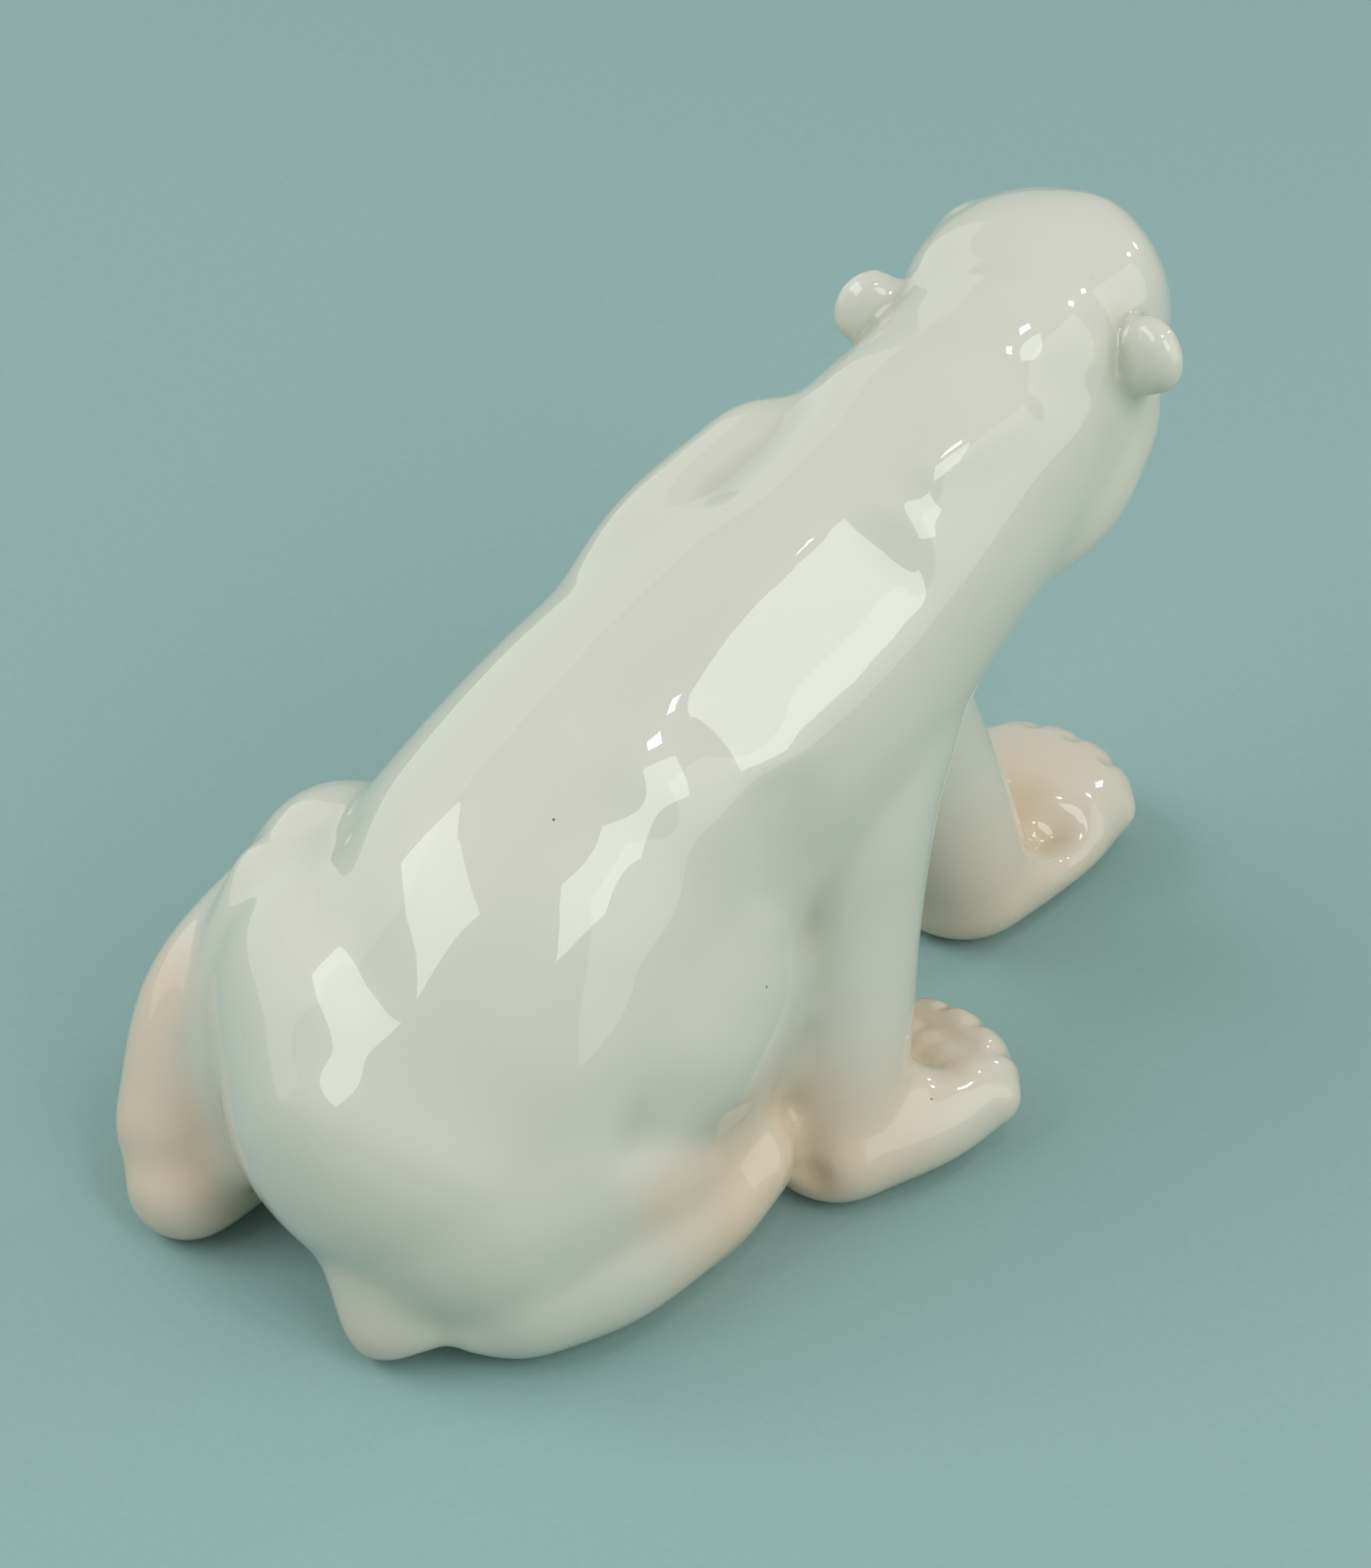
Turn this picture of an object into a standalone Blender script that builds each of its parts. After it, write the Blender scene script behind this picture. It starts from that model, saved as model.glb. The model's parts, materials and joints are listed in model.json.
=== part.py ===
"""A seated polar bear figurine in glazed porcelain, built from its slip castings.

The body is blended as one soft form, hollowed to the wall of the casting, and then sawn
into the pieces that a maker casts apart and lutes together: trunk with haunches, head
with neck, two forelegs, two hind paws, two ears and the tail.

Lengths are millimetres, and turn into metres where a mesh is made. A place is written as
forward, left, up: forward from the tail end, to the bear's own left, above the ground.
Forward is -Y in the scene, left is +X and up is +Z.
"""
import math

import bpy
import numpy as np
from mathutils import Matrix, Vector

MM = 0.001

# The whole figure. Places are drawn in per cent of its length, width and height
LENGTH = 167.0
WIDTH = 90.0
HEIGHT = 119.0

# The casting: its wall, the gap at a luted seam, the vent in the seat, and what is wiped
# off the soles to make them flat
WALL = 4.0
SEAM_GAP = 0.3
VENT_DIAMETER = 5.0
VENT_DEPTH = 30.0
SOLE_TRIM = 0.8

# The trunk, across and through it, from the rump up to the nape
RUMP_WIDTH = 50.0
RUMP_DEPTH = 45.0
HIP_WIDTH = 57.6
HIP_DEPTH = 53.0
BELLY_WIDTH = 58.0
BELLY_DEPTH = 56.4
LOIN_WIDTH = 53.0
LOIN_DEPTH = 55.0
CHEST_WIDTH = 50.0
CHEST_DEPTH = 51.0
WITHERS_WIDTH = 43.0
WITHERS_DEPTH = 42.0
NECK_WIDTH = 38.0
NECK_DEPTH = 39.0
NAPE_WIDTH = 36.0
NAPE_DEPTH = 37.0
THROAT_WIDTH = 21.0

# The head, turned to its left and bent down. Places on it are drawn in shares of the
# muzzle's reach, the skull's width and the skull's depth
HEAD_YAW = 24.0
HEAD_PITCH = -20.0
SKULL_WIDTH = 35.4
SKULL_DEPTH = 32.6
BRIDGE_WIDTH = 31.0
BRIDGE_DEPTH = 29.6
CHEEK_WIDTH = 17.0
BROW_WIDTH = 14.8
MUZZLE_WIDTH = 21.6
MUZZLE_DEPTH = 22.0
MUZZLE_REACH = 34.5
LIP_WIDTH = 15.6
NOSE_WIDTH = 9.6
NOSE_DEPTH = 6.8
EYE_DIAMETER = 5.0
EAR_WIDTH = 10.8
EAR_THICKNESS = 6.0
EAR_CUP_DEPTH = 1.2

# The legs
BLADE_WIDTH = 26.0
SHOULDER_WIDTH = 26.0
SHOULDER_DEPTH = 29.0
UPPER_ARM_WIDTH = 25.0
UPPER_ARM_DEPTH = 28.0
FOREARM_WIDTH = 21.0
FOREARM_DEPTH = 23.0
WRIST_WIDTH = 20.0
WRIST_DEPTH = 21.0
FORE_PAW_WIDTH = 28.0
FORE_PAW_HEIGHT = 18.0
RIGHT_FORE_PAW_LENGTH = 21.0
LEFT_FORE_PAW_LENGTH = 26.0
FORE_TOE_WIDTH = 8.0
HAUNCH_WIDTH = 37.0
HAUNCH_DEPTH = 50.0
KNEE_WIDTH = 24.0
KNEE_DEPTH = 26.0
FOLDED_LEG_WIDTH = 27.0
FOLDED_LEG_DEPTH = 30.0
SHIN_WIDTH = 21.0
SHIN_DEPTH = 27.0
HIND_PAW_WIDTH = 22.0
HIND_PAW_HEIGHT = 17.0
RIGHT_HIND_PAW_LENGTH = 19.0
LEFT_HIND_PAW_LENGTH = 33.0
HIND_TOE_WIDTH = 6.0
HIND_TOE_LIFT = 6.4
TOE_COUNT = 5

# The tail, and the swelling that it grows from
TAIL_WIDTH = 8.0
TAIL_REACH = 9.0
TAIL_ROOT_WIDTH = 30.0
TAIL_ROOT_DEPTH = 23.0

# The modeller's thumb, whose marks are soft valleys
THUMB_RADIUS = 5.0

# Where the castings are sawn apart, and the room that a saw leaves beside a paw
LEFT_LEG_SEAM_HEIGHT = 48.0
RIGHT_LEG_SEAM_HEIGHT = 30.0
HIND_PAW_SEAM_HEIGHT = 15.5
HAUNCH_FRONT = 64.5
RIGHT_HIND_PAW_SEAM = 44.0
SAW_ROOM = 3.2

# How finely the forms are blended, and how many facets are left
BODY_VOXEL = 1.2
BODY_PASSES = 22
DETAIL_VOXEL = 1.0
DETAIL_PASSES = 7
CAVITY_VOXEL = 2.5
CAVITY_PASSES = 6
BODY_FACETS = 9000
CAVITY_FACETS = 1300

RING_POINTS = 32
SPAN_STEPS = 5
CAP_ANGLES = (18.0, 36.0, 54.0, 72.0, 86.0)

FORWARD = (1.0, 0.0, 0.0)
UP = (0.0, 0.0, 1.0)
DOWN = (0.0, 0.0, -1.0)

# Places on the drawing that more than one form or seam starts from
SEAT = (9.0, 2.2, 23.5)
NECK = (65.9, -13.3, 77.7)
NAPE = (73.7, -12.2, 82.8)
HEAD_CENTRE = (75.7, -11.1, 85.7)
TAIL_ROOT = (4.8, -0.6, 10.9)
VENT = (20.4, 8.9, 9.2)


def unit(vector):
    """The vector at length one."""
    vector = np.asarray(vector, float)
    return vector / np.linalg.norm(vector)


def metres(places):
    """Forward, left, up in millimetres as X, Y, Z in metres."""
    places = np.asarray(places, float)
    return np.stack([places[..., 1], -places[..., 0], places[..., 2]], -1) * MM


def drawn(place):
    """A place of the drawing, in per cent of the figure, in millimetres."""
    return tuple(np.array(place, float) * (LENGTH, WIDTH, HEIGHT) / 100)


def station(place, width, depth, inset=0.0):
    """A station of a loft: a place of the drawing, and half of each size, less the inset."""
    return (*drawn(place), width / 2 - inset, depth / 2 - inset)


def head_axes():
    """The head's own directions: along the muzzle, to its left, and upwards."""
    yaw = math.radians(HEAD_YAW)
    pitch = math.radians(HEAD_PITCH)
    along = np.array([math.cos(pitch) * math.cos(yaw), math.cos(pitch) * math.sin(yaw), math.sin(pitch)])
    aside = np.array([-math.sin(yaw), math.cos(yaw), 0.0])
    return along, aside, np.cross(along, aside)


def head_place(along, aside, above):
    """A place on the head in millimetres, from its shares along, aside and above the centre."""
    forward, left, up = head_axes()
    offset = along * MUZZLE_REACH * forward + aside * SKULL_WIDTH * left + above * SKULL_DEPTH * up
    return tuple(np.array(drawn(HEAD_CENTRE)) + offset)


def head_station(place, width, depth, inset=0.0):
    """A station of a loft on the head."""
    return (*head_place(*place), width / 2 - inset, depth / 2 - inset)


def smooth_path(stations):
    """A Catmull-Rom curve through the stations, so each passes exactly through its row."""
    rows = np.asarray(stations, float)
    padded = np.vstack([2 * rows[0] - rows[1], rows, 2 * rows[-1] - rows[-2]])
    t = np.linspace(0, 1, SPAN_STEPS, endpoint=False)[:, None]
    spans = []
    for p0, p1, p2, p3 in zip(padded, padded[1:], padded[2:], padded[3:]):
        linear = (p2 - p0) * t
        square = (2 * p0 - 5 * p1 + 4 * p2 - p3) * t ** 2
        cube = (3 * p1 - p0 - 3 * p2 + p3) * t ** 3
        spans.append(0.5 * (2 * p1 + linear + square + cube))
    return np.vstack(spans + [rows[-1:]])


def loft(stations, upright=UP, caps=(1.0, 1.0)):
    """Elliptical rings along a spine, closed by domes.

    A station is forward, left, up, half the width and half the depth. The width lies
    square to both the spine and the upright. caps sets how far each end's dome stands
    out, as a share of that end's mean half size.
    """
    path = smooth_path(stations)
    centres = path[:, :3]
    halves = path[:, 3:5]
    tangents = np.gradient(centres, axis=0)
    tangents /= np.linalg.norm(tangents, axis=1)[:, None]
    angles = np.radians(CAP_ANGLES)[:, None]
    start_reach = halves[0].mean() * caps[0]
    end_reach = halves[-1].mean() * caps[1]
    start = centres[0] - tangents[0] * start_reach * np.sin(angles[::-1])
    end = centres[-1] + tangents[-1] * end_reach * np.sin(angles)
    centres = np.vstack([start, centres, end])
    halves = np.vstack([halves[0] * np.cos(angles[::-1]), halves, halves[-1] * np.cos(angles)])
    repeat = np.ones((len(CAP_ANGLES), 1))
    tangents = np.vstack([tangents[0] * repeat, tangents, tangents[-1] * repeat])
    side = np.cross(np.asarray(upright, float), tangents)
    side /= np.linalg.norm(side, axis=1)[:, None]
    above = np.cross(tangents, side)
    turn = np.linspace(0, 2 * math.pi, RING_POINTS, endpoint=False)[None, :, None]
    across = side[:, None] * halves[:, 0, None, None] * np.cos(turn)
    through = above[:, None] * halves[:, 1, None, None] * np.sin(turn)
    return centres[:, None] + across + through


def ring_faces(rings, around):
    """Quads between neighbouring rings, and a fan at each end to its pole."""
    ring = np.arange(rings - 1)[:, None] * around
    here = np.arange(around)[None, :]
    after = (here + 1) % around
    quads = np.stack([ring + here, ring + after, ring + around + after, ring + around + here], -1)
    last = (rings - 1) * around
    start_pole = rings * around
    faces = quads.reshape(-1, 4).tolist()
    for a, b in zip(here[0].tolist(), after[0].tolist()):
        faces.append([b, a, start_pole])
        faces.append([last + a, last + b, start_pole + 1])
    return faces


def guide_collection():
    """Where saws and other guides are kept, apart from the pieces."""
    name = "guides"
    if name not in bpy.data.collections:
        bpy.context.scene.collection.children.link(bpy.data.collections.new(name))
    return bpy.data.collections[name]


def loft_object(name, rings):
    """One closed mesh around the rings of a loft."""
    poles = np.stack([rings[0].mean(0), rings[-1].mean(0)])
    points = metres(np.vstack([rings.reshape(-1, 3), poles]))
    mesh = bpy.data.meshes.new(name)
    mesh.from_pydata(points.tolist(), [], ring_faces(len(rings), RING_POINTS))
    obj = bpy.data.objects.new(name, mesh)
    guide_collection().objects.link(obj)
    return obj


def settle(obj):
    """Keep the shape that the object's modifiers give it."""
    graph = bpy.context.evaluated_depsgraph_get()
    mesh = bpy.data.meshes.new_from_object(obj.evaluated_get(graph))
    obj.modifiers.clear()
    obj.data = mesh
    return obj


def blend(name, objects, voxel, passes, facets=None):
    """Melt overlapping solids into one skin: a voxel remesh, then passes of smoothing."""
    for obj in bpy.context.scene.objects:
        obj.select_set(obj in objects)
    bpy.context.view_layer.objects.active = objects[0]
    bpy.ops.object.join()
    whole = bpy.context.view_layer.objects.active
    whole.name = name
    remesh = whole.modifiers.new("Remesh", "REMESH")
    remesh.mode = "VOXEL"
    remesh.voxel_size = voxel * MM
    smooth = whole.modifiers.new("Smooth", "SMOOTH")
    smooth.factor = 0.5
    smooth.iterations = passes
    settle(whole)
    if facets:
        thin = whole.modifiers.new("Decimate", "DECIMATE")
        thin.ratio = facets / (2 * len(whole.data.polygons))
        thin.use_collapse_triangulate = True
        settle(whole)
    return whole


def press(obj, marks):
    """Thumb marks. Each point moves against its normal by depth times a bell of its distance
    from the mark's line: exp(-(distance / radius) squared). A mark is start, end, radius, depth."""
    mesh = obj.data
    points = np.empty(len(mesh.vertices) * 3)
    mesh.vertices.foreach_get("co", points)
    points = points.reshape(-1, 3)
    normals = np.empty(len(points) * 3, np.float32)
    mesh.vertex_normals.foreach_get("vector", normals)
    sink = np.zeros(len(points))
    for start, end, radius, depth in marks:
        start, end = metres([start, end])
        line = end - start
        along = np.clip((points - start) @ line / (line @ line), 0, 1)
        distance = np.linalg.norm(points - start - along[:, None] * line, axis=1)
        sink += depth * MM * np.exp(-(distance / (radius * MM)) ** 2)
    mesh.vertices.foreach_set("co", (points - normals.reshape(-1, 3) * sink[:, None]).ravel())
    mesh.update()
    return obj


def body_marks():
    """Soft valleys of the body: two places of the drawing, and radius and depth as shares of
    the thumb. A negative depth raises the clay instead."""
    rows = [
        ((16.8, -31.1, 31.1), (27.5, -33.3, 21.0), 1.25, 0.95),
        ((34.1, -24.4, 67.2), (35.3, -30.0, 50.4), 1.0, 0.48),
        ((46.7, 2.2, 82.4), (53.9, 0.0, 86.6), 1.0, 0.24),
        ((14.4, 23.3, 50.4), (6.0, 4.4, 46.2), 1.0, 0.2),
        ((80.2, 10.0, 16.0), (83.2, -10.0, 10.9), 0.9, 1.3),
        ((52.7, -23.3, 16.0), (51.5, -32.2, 15.1), 0.9, 0.95),
        ((37.1, -22.2, 16.8), (35.9, -31.1, 6.7), 0.5, 0.45),
    ]
    thumb = THUMB_RADIUS
    return [(drawn(start), drawn(end), wide * thumb, deep * thumb) for start, end, wide, deep in rows]


def trunk_stations(inset):
    """The barrel of the body from the rump to the nape."""
    return [
        station(SEAT, RUMP_WIDTH, RUMP_DEPTH, inset),
        station((15.6, 3.6, 29.8), HIP_WIDTH, HIP_DEPTH, inset),
        station((23.4, 3.6, 37.0), BELLY_WIDTH, BELLY_DEPTH, inset),
        station((34.1, 1.7, 47.5), LOIN_WIDTH, LOIN_DEPTH, inset),
        station((46.7, -5.6, 60.1), CHEST_WIDTH, CHEST_DEPTH, inset),
        station((56.9, -11.1, 71.0), WITHERS_WIDTH, WITHERS_DEPTH, inset),
        station(NECK, NECK_WIDTH, NECK_DEPTH, inset),
        station(NAPE, NAPE_WIDTH, NAPE_DEPTH, inset),
    ]


def skull_stations(inset):
    """The skull and the muzzle, from the back of the head to the nose."""
    return [
        head_station((-0.290, 0.000, -0.031), SKULL_WIDTH * 0.8, SKULL_DEPTH * 0.8, inset),
        head_station((-0.087, 0.000, 0.031), SKULL_WIDTH, SKULL_DEPTH, inset),
        head_station((0.174, 0.000, 0.049), SKULL_WIDTH, SKULL_DEPTH, inset),
        head_station((0.377, 0.000, -0.012), BRIDGE_WIDTH, BRIDGE_DEPTH, inset),
        head_station((0.609, 0.000, -0.098), MUZZLE_WIDTH * 1.16, MUZZLE_DEPTH * 1.12, inset),
        head_station((0.826, 0.000, -0.153), MUZZLE_WIDTH, MUZZLE_DEPTH, inset),
        head_station((1.0, 0.0, -0.178), MUZZLE_WIDTH * 0.9, MUZZLE_DEPTH * 0.88, inset),
    ]


def paw_stations(heel, heading, length, width, height, lift=0.0):
    """A paw that lies on its sole, widest behind the toes and lower at its front."""
    ahead = np.array([math.cos(math.radians(heading)), math.sin(math.radians(heading)), 0.0])
    heel_centre = np.array([*heel, height * 0.45])
    ball = heel_centre + ahead * length * 0.52 + np.array(UP) * height * 0.05
    front = heel_centre + ahead * length + np.array(UP) * (height * 0.05 + lift)
    return [
        (*heel_centre, width * 0.39, height * 0.45),
        (*ball, width * 0.5, height * 0.5),
        (*front, width * 0.49, height * 0.48),
    ]


def toe_lofts(heel, heading, length, width, toe_width, height):
    """Toes side by side across the front of a paw, the outer ones set back."""
    ahead = np.array([math.cos(math.radians(heading)), math.sin(math.radians(heading)), 0.0])
    across = np.array([-ahead[1], ahead[0], 0.0])
    spread = (width - toe_width) / 2
    lofts = []
    for toe in range(TOE_COUNT):
        share = 2 * toe / max(TOE_COUNT - 1, 1) - 1
        root = np.array([*heel, height + toe_width * 0.3])
        root += ahead * length * 0.85 + across * spread * 0.75 * share
        reach = length * 0.85 + toe_width * (0.86 - 0.45 * share ** 2)
        tip = np.array([*heel, height]) + ahead * reach + across * spread * share
        lofts.append(loft([(*root, toe_width / 2, toe_width * 0.55), (*tip, toe_width / 2, toe_width / 2)]))
    return lofts


# A paw's heel, the way it points in degrees to the left, its length and its width
RIGHT_FORE_PAW = (drawn((41.3, -26.7, 0.0))[:2], -5.0, RIGHT_FORE_PAW_LENGTH, FORE_PAW_WIDTH)
LEFT_FORE_PAW = (drawn((75.7, -0.8, 0.0))[:2], 9.0, LEFT_FORE_PAW_LENGTH, FORE_PAW_WIDTH * 1.1)
RIGHT_HIND_PAW = (drawn((21.0, -18.9, 0.0))[:2], -9.0, RIGHT_HIND_PAW_LENGTH, HIND_PAW_WIDTH * 0.86)
LEFT_HIND_PAW = (drawn((4.2, 39.4, 0.0))[:2], 8.0, LEFT_HIND_PAW_LENGTH, HIND_PAW_WIDTH)


def haunch_stations(inset):
    """The two haunches, from the seat forward to the knees: the right one, then the left one."""
    right = [
        station((10.8, -8.9, 20.2), HAUNCH_WIDTH * 0.92, HAUNCH_DEPTH * 0.84, inset),
        station((21.6, -13.3, 25.2), HAUNCH_WIDTH, HAUNCH_DEPTH, inset),
        station((29.3, -14.4, 34.5), HAUNCH_WIDTH * 0.84, HAUNCH_DEPTH * 0.88, inset),
    ]
    left = [
        station((9.6, 14.4, 25.2), HAUNCH_WIDTH * 0.92, HAUNCH_DEPTH * 0.92, inset),
        station((15.0, 24.4, 30.3), HAUNCH_WIDTH * 0.97, HAUNCH_DEPTH * 0.96, inset),
        station((20.4, 33.3, 35.3), HAUNCH_WIDTH * 0.76, HAUNCH_DEPTH * 0.68, inset),
    ]
    return right, left


def hind_leg_lofts():
    """Haunches, knees and shins. The right leg is folded under the body."""
    lofts = [loft(rows) for rows in haunch_stations(0.0)]
    lofts += [
        loft([
            station((32.0, -16.1, 42.9), KNEE_WIDTH, KNEE_DEPTH),
            station((30.2, -15.6, 28.6), KNEE_WIDTH * 0.92, KNEE_DEPTH * 0.85),
        ], FORWARD),
        loft([
            station((34.4, -18.3, 37.0), KNEE_WIDTH * 0.67, KNEE_DEPTH * 0.62),
            station((36.2, -18.9, 20.2), KNEE_WIDTH * 0.62, KNEE_DEPTH * 0.54),
        ], FORWARD),
        loft([
            station((12.0, -12.2, 10.1), FOLDED_LEG_WIDTH * 1.1, FOLDED_LEG_DEPTH * 0.85),
            station((18.6, -17.2, 11.3), FOLDED_LEG_WIDTH * 1.1, FOLDED_LEG_DEPTH * 0.9),
            station((27.5, -21.1, 10.5), FOLDED_LEG_WIDTH * 0.85, FOLDED_LEG_DEPTH * 0.64),
            station((32.3, -22.8, 10.9), FOLDED_LEG_WIDTH * 0.63, FOLDED_LEG_DEPTH * 0.5),
        ]),
        loft([
            station((21.0, 37.8, 35.3), SHIN_WIDTH, SHIN_DEPTH),
            station((13.2, 44.4, 24.4), SHIN_WIDTH, SHIN_DEPTH),
            station((6.6, 43.3, 11.8), SHIN_WIDTH * 0.9, SHIN_DEPTH * 0.74),
        ], FORWARD),
    ]
    for (heel, heading, length, width), lift in ((RIGHT_HIND_PAW, HIND_TOE_LIFT), (LEFT_HIND_PAW, 0.0)):
        rows = paw_stations(heel, heading, length, width, HIND_PAW_HEIGHT, lift)
        lofts.append(loft(rows, caps=(1.0, 0.8)))
    return lofts


def foreleg_lofts():
    """The upright right foreleg and the left one, which reaches forward."""
    lofts = [
        loft([
            station((51.5, -15.0, 63.9), SHOULDER_WIDTH, SHOULDER_DEPTH),
            station((47.0, -19.4, 48.7), UPPER_ARM_WIDTH, UPPER_ARM_DEPTH),
            station((45.2, -22.2, 33.6), FOREARM_WIDTH, FOREARM_DEPTH),
            station((43.4, -25.0, 18.5), WRIST_WIDTH * 0.95, WRIST_DEPTH),
            station((42.5, -26.1, 7.6), WRIST_WIDTH, WRIST_DEPTH * 0.95),
        ], FORWARD),
        loft([
            station((59.9, -2.2, 65.5), SHOULDER_WIDTH * 1.08, SHOULDER_DEPTH),
            station((64.1, 2.2, 50.4), UPPER_ARM_WIDTH * 0.96, UPPER_ARM_DEPTH * 0.93),
            station((68.3, 2.2, 35.3), FOREARM_WIDTH * 1.05, FOREARM_DEPTH * 1.04),
            station((72.8, -0.6, 20.2), WRIST_WIDTH, WRIST_DEPTH * 1.05),
            station((75.4, -1.7, 10.1), WRIST_WIDTH * 1.05, WRIST_DEPTH * 0.95),
        ], FORWARD),
    ]
    for heel, heading, length, width in (RIGHT_FORE_PAW, LEFT_FORE_PAW):
        lofts.append(loft(paw_stations(heel, heading, length, width, FORE_PAW_HEIGHT), caps=(1.0, 0.8)))
    return lofts


def head_lofts():
    """Skull, throat and cheeks."""
    head_up = head_axes()[2]
    lofts = [
        loft(skull_stations(0.0), head_up, (1.0, 0.6)),
        loft([
            station((64.1, -20.0, 67.2), THROAT_WIDTH * 0.86, THROAT_WIDTH * 0.76),
            station((70.1, -22.8, 71.8), THROAT_WIDTH, THROAT_WIDTH * 0.86),
            station((76.0, -21.7, 77.7), THROAT_WIDTH * 0.95, THROAT_WIDTH * 0.86),
        ]),
    ]
    for side in (1, -1):
        back = head_station((-0.058, side * 0.282, -0.184), CHEEK_WIDTH, CHEEK_WIDTH)
        front = head_station((0.348, side * 0.226, -0.184), CHEEK_WIDTH * 0.82, CHEEK_WIDTH * 0.88)
        lofts.append(loft([back, front], head_up))
    return lofts


def trunk_lofts():
    """Barrel, left shoulder blade, both shoulders and the swelling that the tail grows from."""
    return [
        loft(trunk_stations(0.0), caps=(0.8, 1.0)),
        loft([
            station((37.1, 7.8, 58.0), BLADE_WIDTH, BLADE_WIDTH * 1.08),
            station((45.5, 8.3, 67.6), BLADE_WIDTH, BLADE_WIDTH * 1.04),
            station((53.3, 4.4, 76.1), BLADE_WIDTH * 0.85, BLADE_WIDTH * 0.85),
        ]),
        loft([
            station((50.3, 6.7, 69.7), SHOULDER_WIDTH * 0.85, SHOULDER_DEPTH * 0.83),
            station((57.5, 5.6, 62.2), SHOULDER_WIDTH, SHOULDER_DEPTH * 1.03),
            station((62.9, 3.3, 52.1), SHOULDER_WIDTH * 0.96, SHOULDER_DEPTH * 0.97),
        ], FORWARD),
        loft([
            station((51.5, -14.4, 70.6), SHOULDER_WIDTH * 0.85, SHOULDER_DEPTH * 0.76),
            station((50.9, -18.3, 58.8), SHOULDER_WIDTH * 0.96, SHOULDER_DEPTH * 0.9),
            station((47.3, -20.0, 48.7), SHOULDER_WIDTH * 0.92, SHOULDER_DEPTH * 0.9),
        ], FORWARD),
        loft([
            station((7.8, 1.1, 16.0), TAIL_ROOT_WIDTH, TAIL_ROOT_DEPTH),
            station((4.2, -1.7, 10.9), TAIL_ROOT_WIDTH * 0.67, TAIL_ROOT_DEPTH * 0.74),
            station((2.7, -3.3, 6.7), TAIL_ROOT_WIDTH * 0.5, TAIL_ROOT_DEPTH * 0.52),
        ], FORWARD),
    ]


def ear_ends(side):
    """Root and tip of an ear. The right ear lies closer to the head and further back."""
    if side > 0:
        return head_place(-0.203, 0.424, -0.031), head_place(-0.261, 0.579, 0.046)
    return head_place(-0.232, -0.395, -0.031), head_place(-0.319, -0.523, 0.031)


def tail_ends():
    """Root and tip of the tail, which points down and back."""
    root = np.array(drawn(TAIL_ROOT))
    return root, root + unit((-5.0, -2.0, -7.5)) * TAIL_REACH


def face_lofts():
    """Brows, eyes, nose pad and lips."""
    along, _, head_up = head_axes()
    lofts = []
    for side in (1, -1):
        brow = [
            head_station((0.087, side * 0.212, 0.301), BROW_WIDTH, BROW_WIDTH * 0.81),
            head_station((0.348, side * 0.212, 0.239), BROW_WIDTH * 0.84, BROW_WIDTH * 0.7),
            head_station((0.565, side * 0.212, 0.141), BROW_WIDTH * 0.46, BROW_WIDTH * 0.38),
        ]
        lofts.append(loft(brow, head_up))
        eye = np.array(eye_place(side))
        radius = EYE_DIAMETER / 2
        back = eye - along * radius * 0.5
        lofts.append(loft([(*back, radius, radius), (*eye, radius, radius)], head_up))
    nose = [
        head_station((1.029, 0.000, -0.018), NOSE_WIDTH, NOSE_DEPTH),
        head_station((1.116, 0.000, -0.058), NOSE_WIDTH, NOSE_DEPTH),
    ]
    lofts.append(loft(nose, head_up, (1.0, 0.6)))
    lips = [
        head_station((0.826, 0.000, -0.325), LIP_WIDTH, LIP_WIDTH * 0.72),
        head_station((1.046, 0.000, -0.288), LIP_WIDTH * 0.92, LIP_WIDTH * 0.69),
    ]
    lofts.append(loft(lips, head_up, (1.0, 0.8)))
    return lofts


def eye_place(side):
    """The middle of an eyeball."""
    return head_place(0.594, side * 0.254, 0.184)


def ear_lofts():
    """Round ears, thick at the root and flat at the tip."""
    along = head_axes()[0]
    lofts = []
    for side in (1, -1):
        root, tip = ear_ends(side)
        half = EAR_WIDTH / 2
        lofts.append(loft([(*root, half, EAR_THICKNESS * 0.6), (*tip, half, EAR_THICKNESS / 2)], along))
    return lofts


def tail_lofts():
    """The tail's tip."""
    root, tip = tail_ends()
    rows = [(*root, TAIL_WIDTH * 0.85, TAIL_WIDTH * 0.75), (*tip, TAIL_WIDTH / 2, TAIL_WIDTH * 0.47)]
    return [loft(rows, FORWARD)]


def all_toe_lofts():
    """Toes of the four paws."""
    fore_height = FORE_PAW_HEIGHT * 0.5
    hind_height = HIND_PAW_HEIGHT * 0.45
    lofts = []
    for heel, heading, length, width in (RIGHT_FORE_PAW, LEFT_FORE_PAW):
        lofts += toe_lofts(heel, heading, length, width, FORE_TOE_WIDTH, fore_height)
    for (heel, heading, length, width), lift in ((RIGHT_HIND_PAW, HIND_TOE_LIFT), (LEFT_HIND_PAW, 0.0)):
        lofts += toe_lofts(heel, heading, length, width, HIND_TOE_WIDTH, hind_height + lift)
    return lofts


def as_objects(name, lofts):
    """Each loft as an object of its own."""
    return [loft_object(f"{name}_{index}", rings) for index, rings in enumerate(lofts)]


def body_form():
    """The whole bear as one skin: the big masses first, then what stays crisper on them."""
    masses = trunk_lofts() + hind_leg_lofts() + foreleg_lofts() + head_lofts()
    soft = press(blend("masses", as_objects("mass", masses), BODY_VOXEL, BODY_PASSES), body_marks())
    details = face_lofts() + ear_lofts() + tail_lofts() + all_toe_lofts()
    return blend("body", [soft] + as_objects("detail", details), DETAIL_VOXEL, DETAIL_PASSES, BODY_FACETS)


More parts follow.
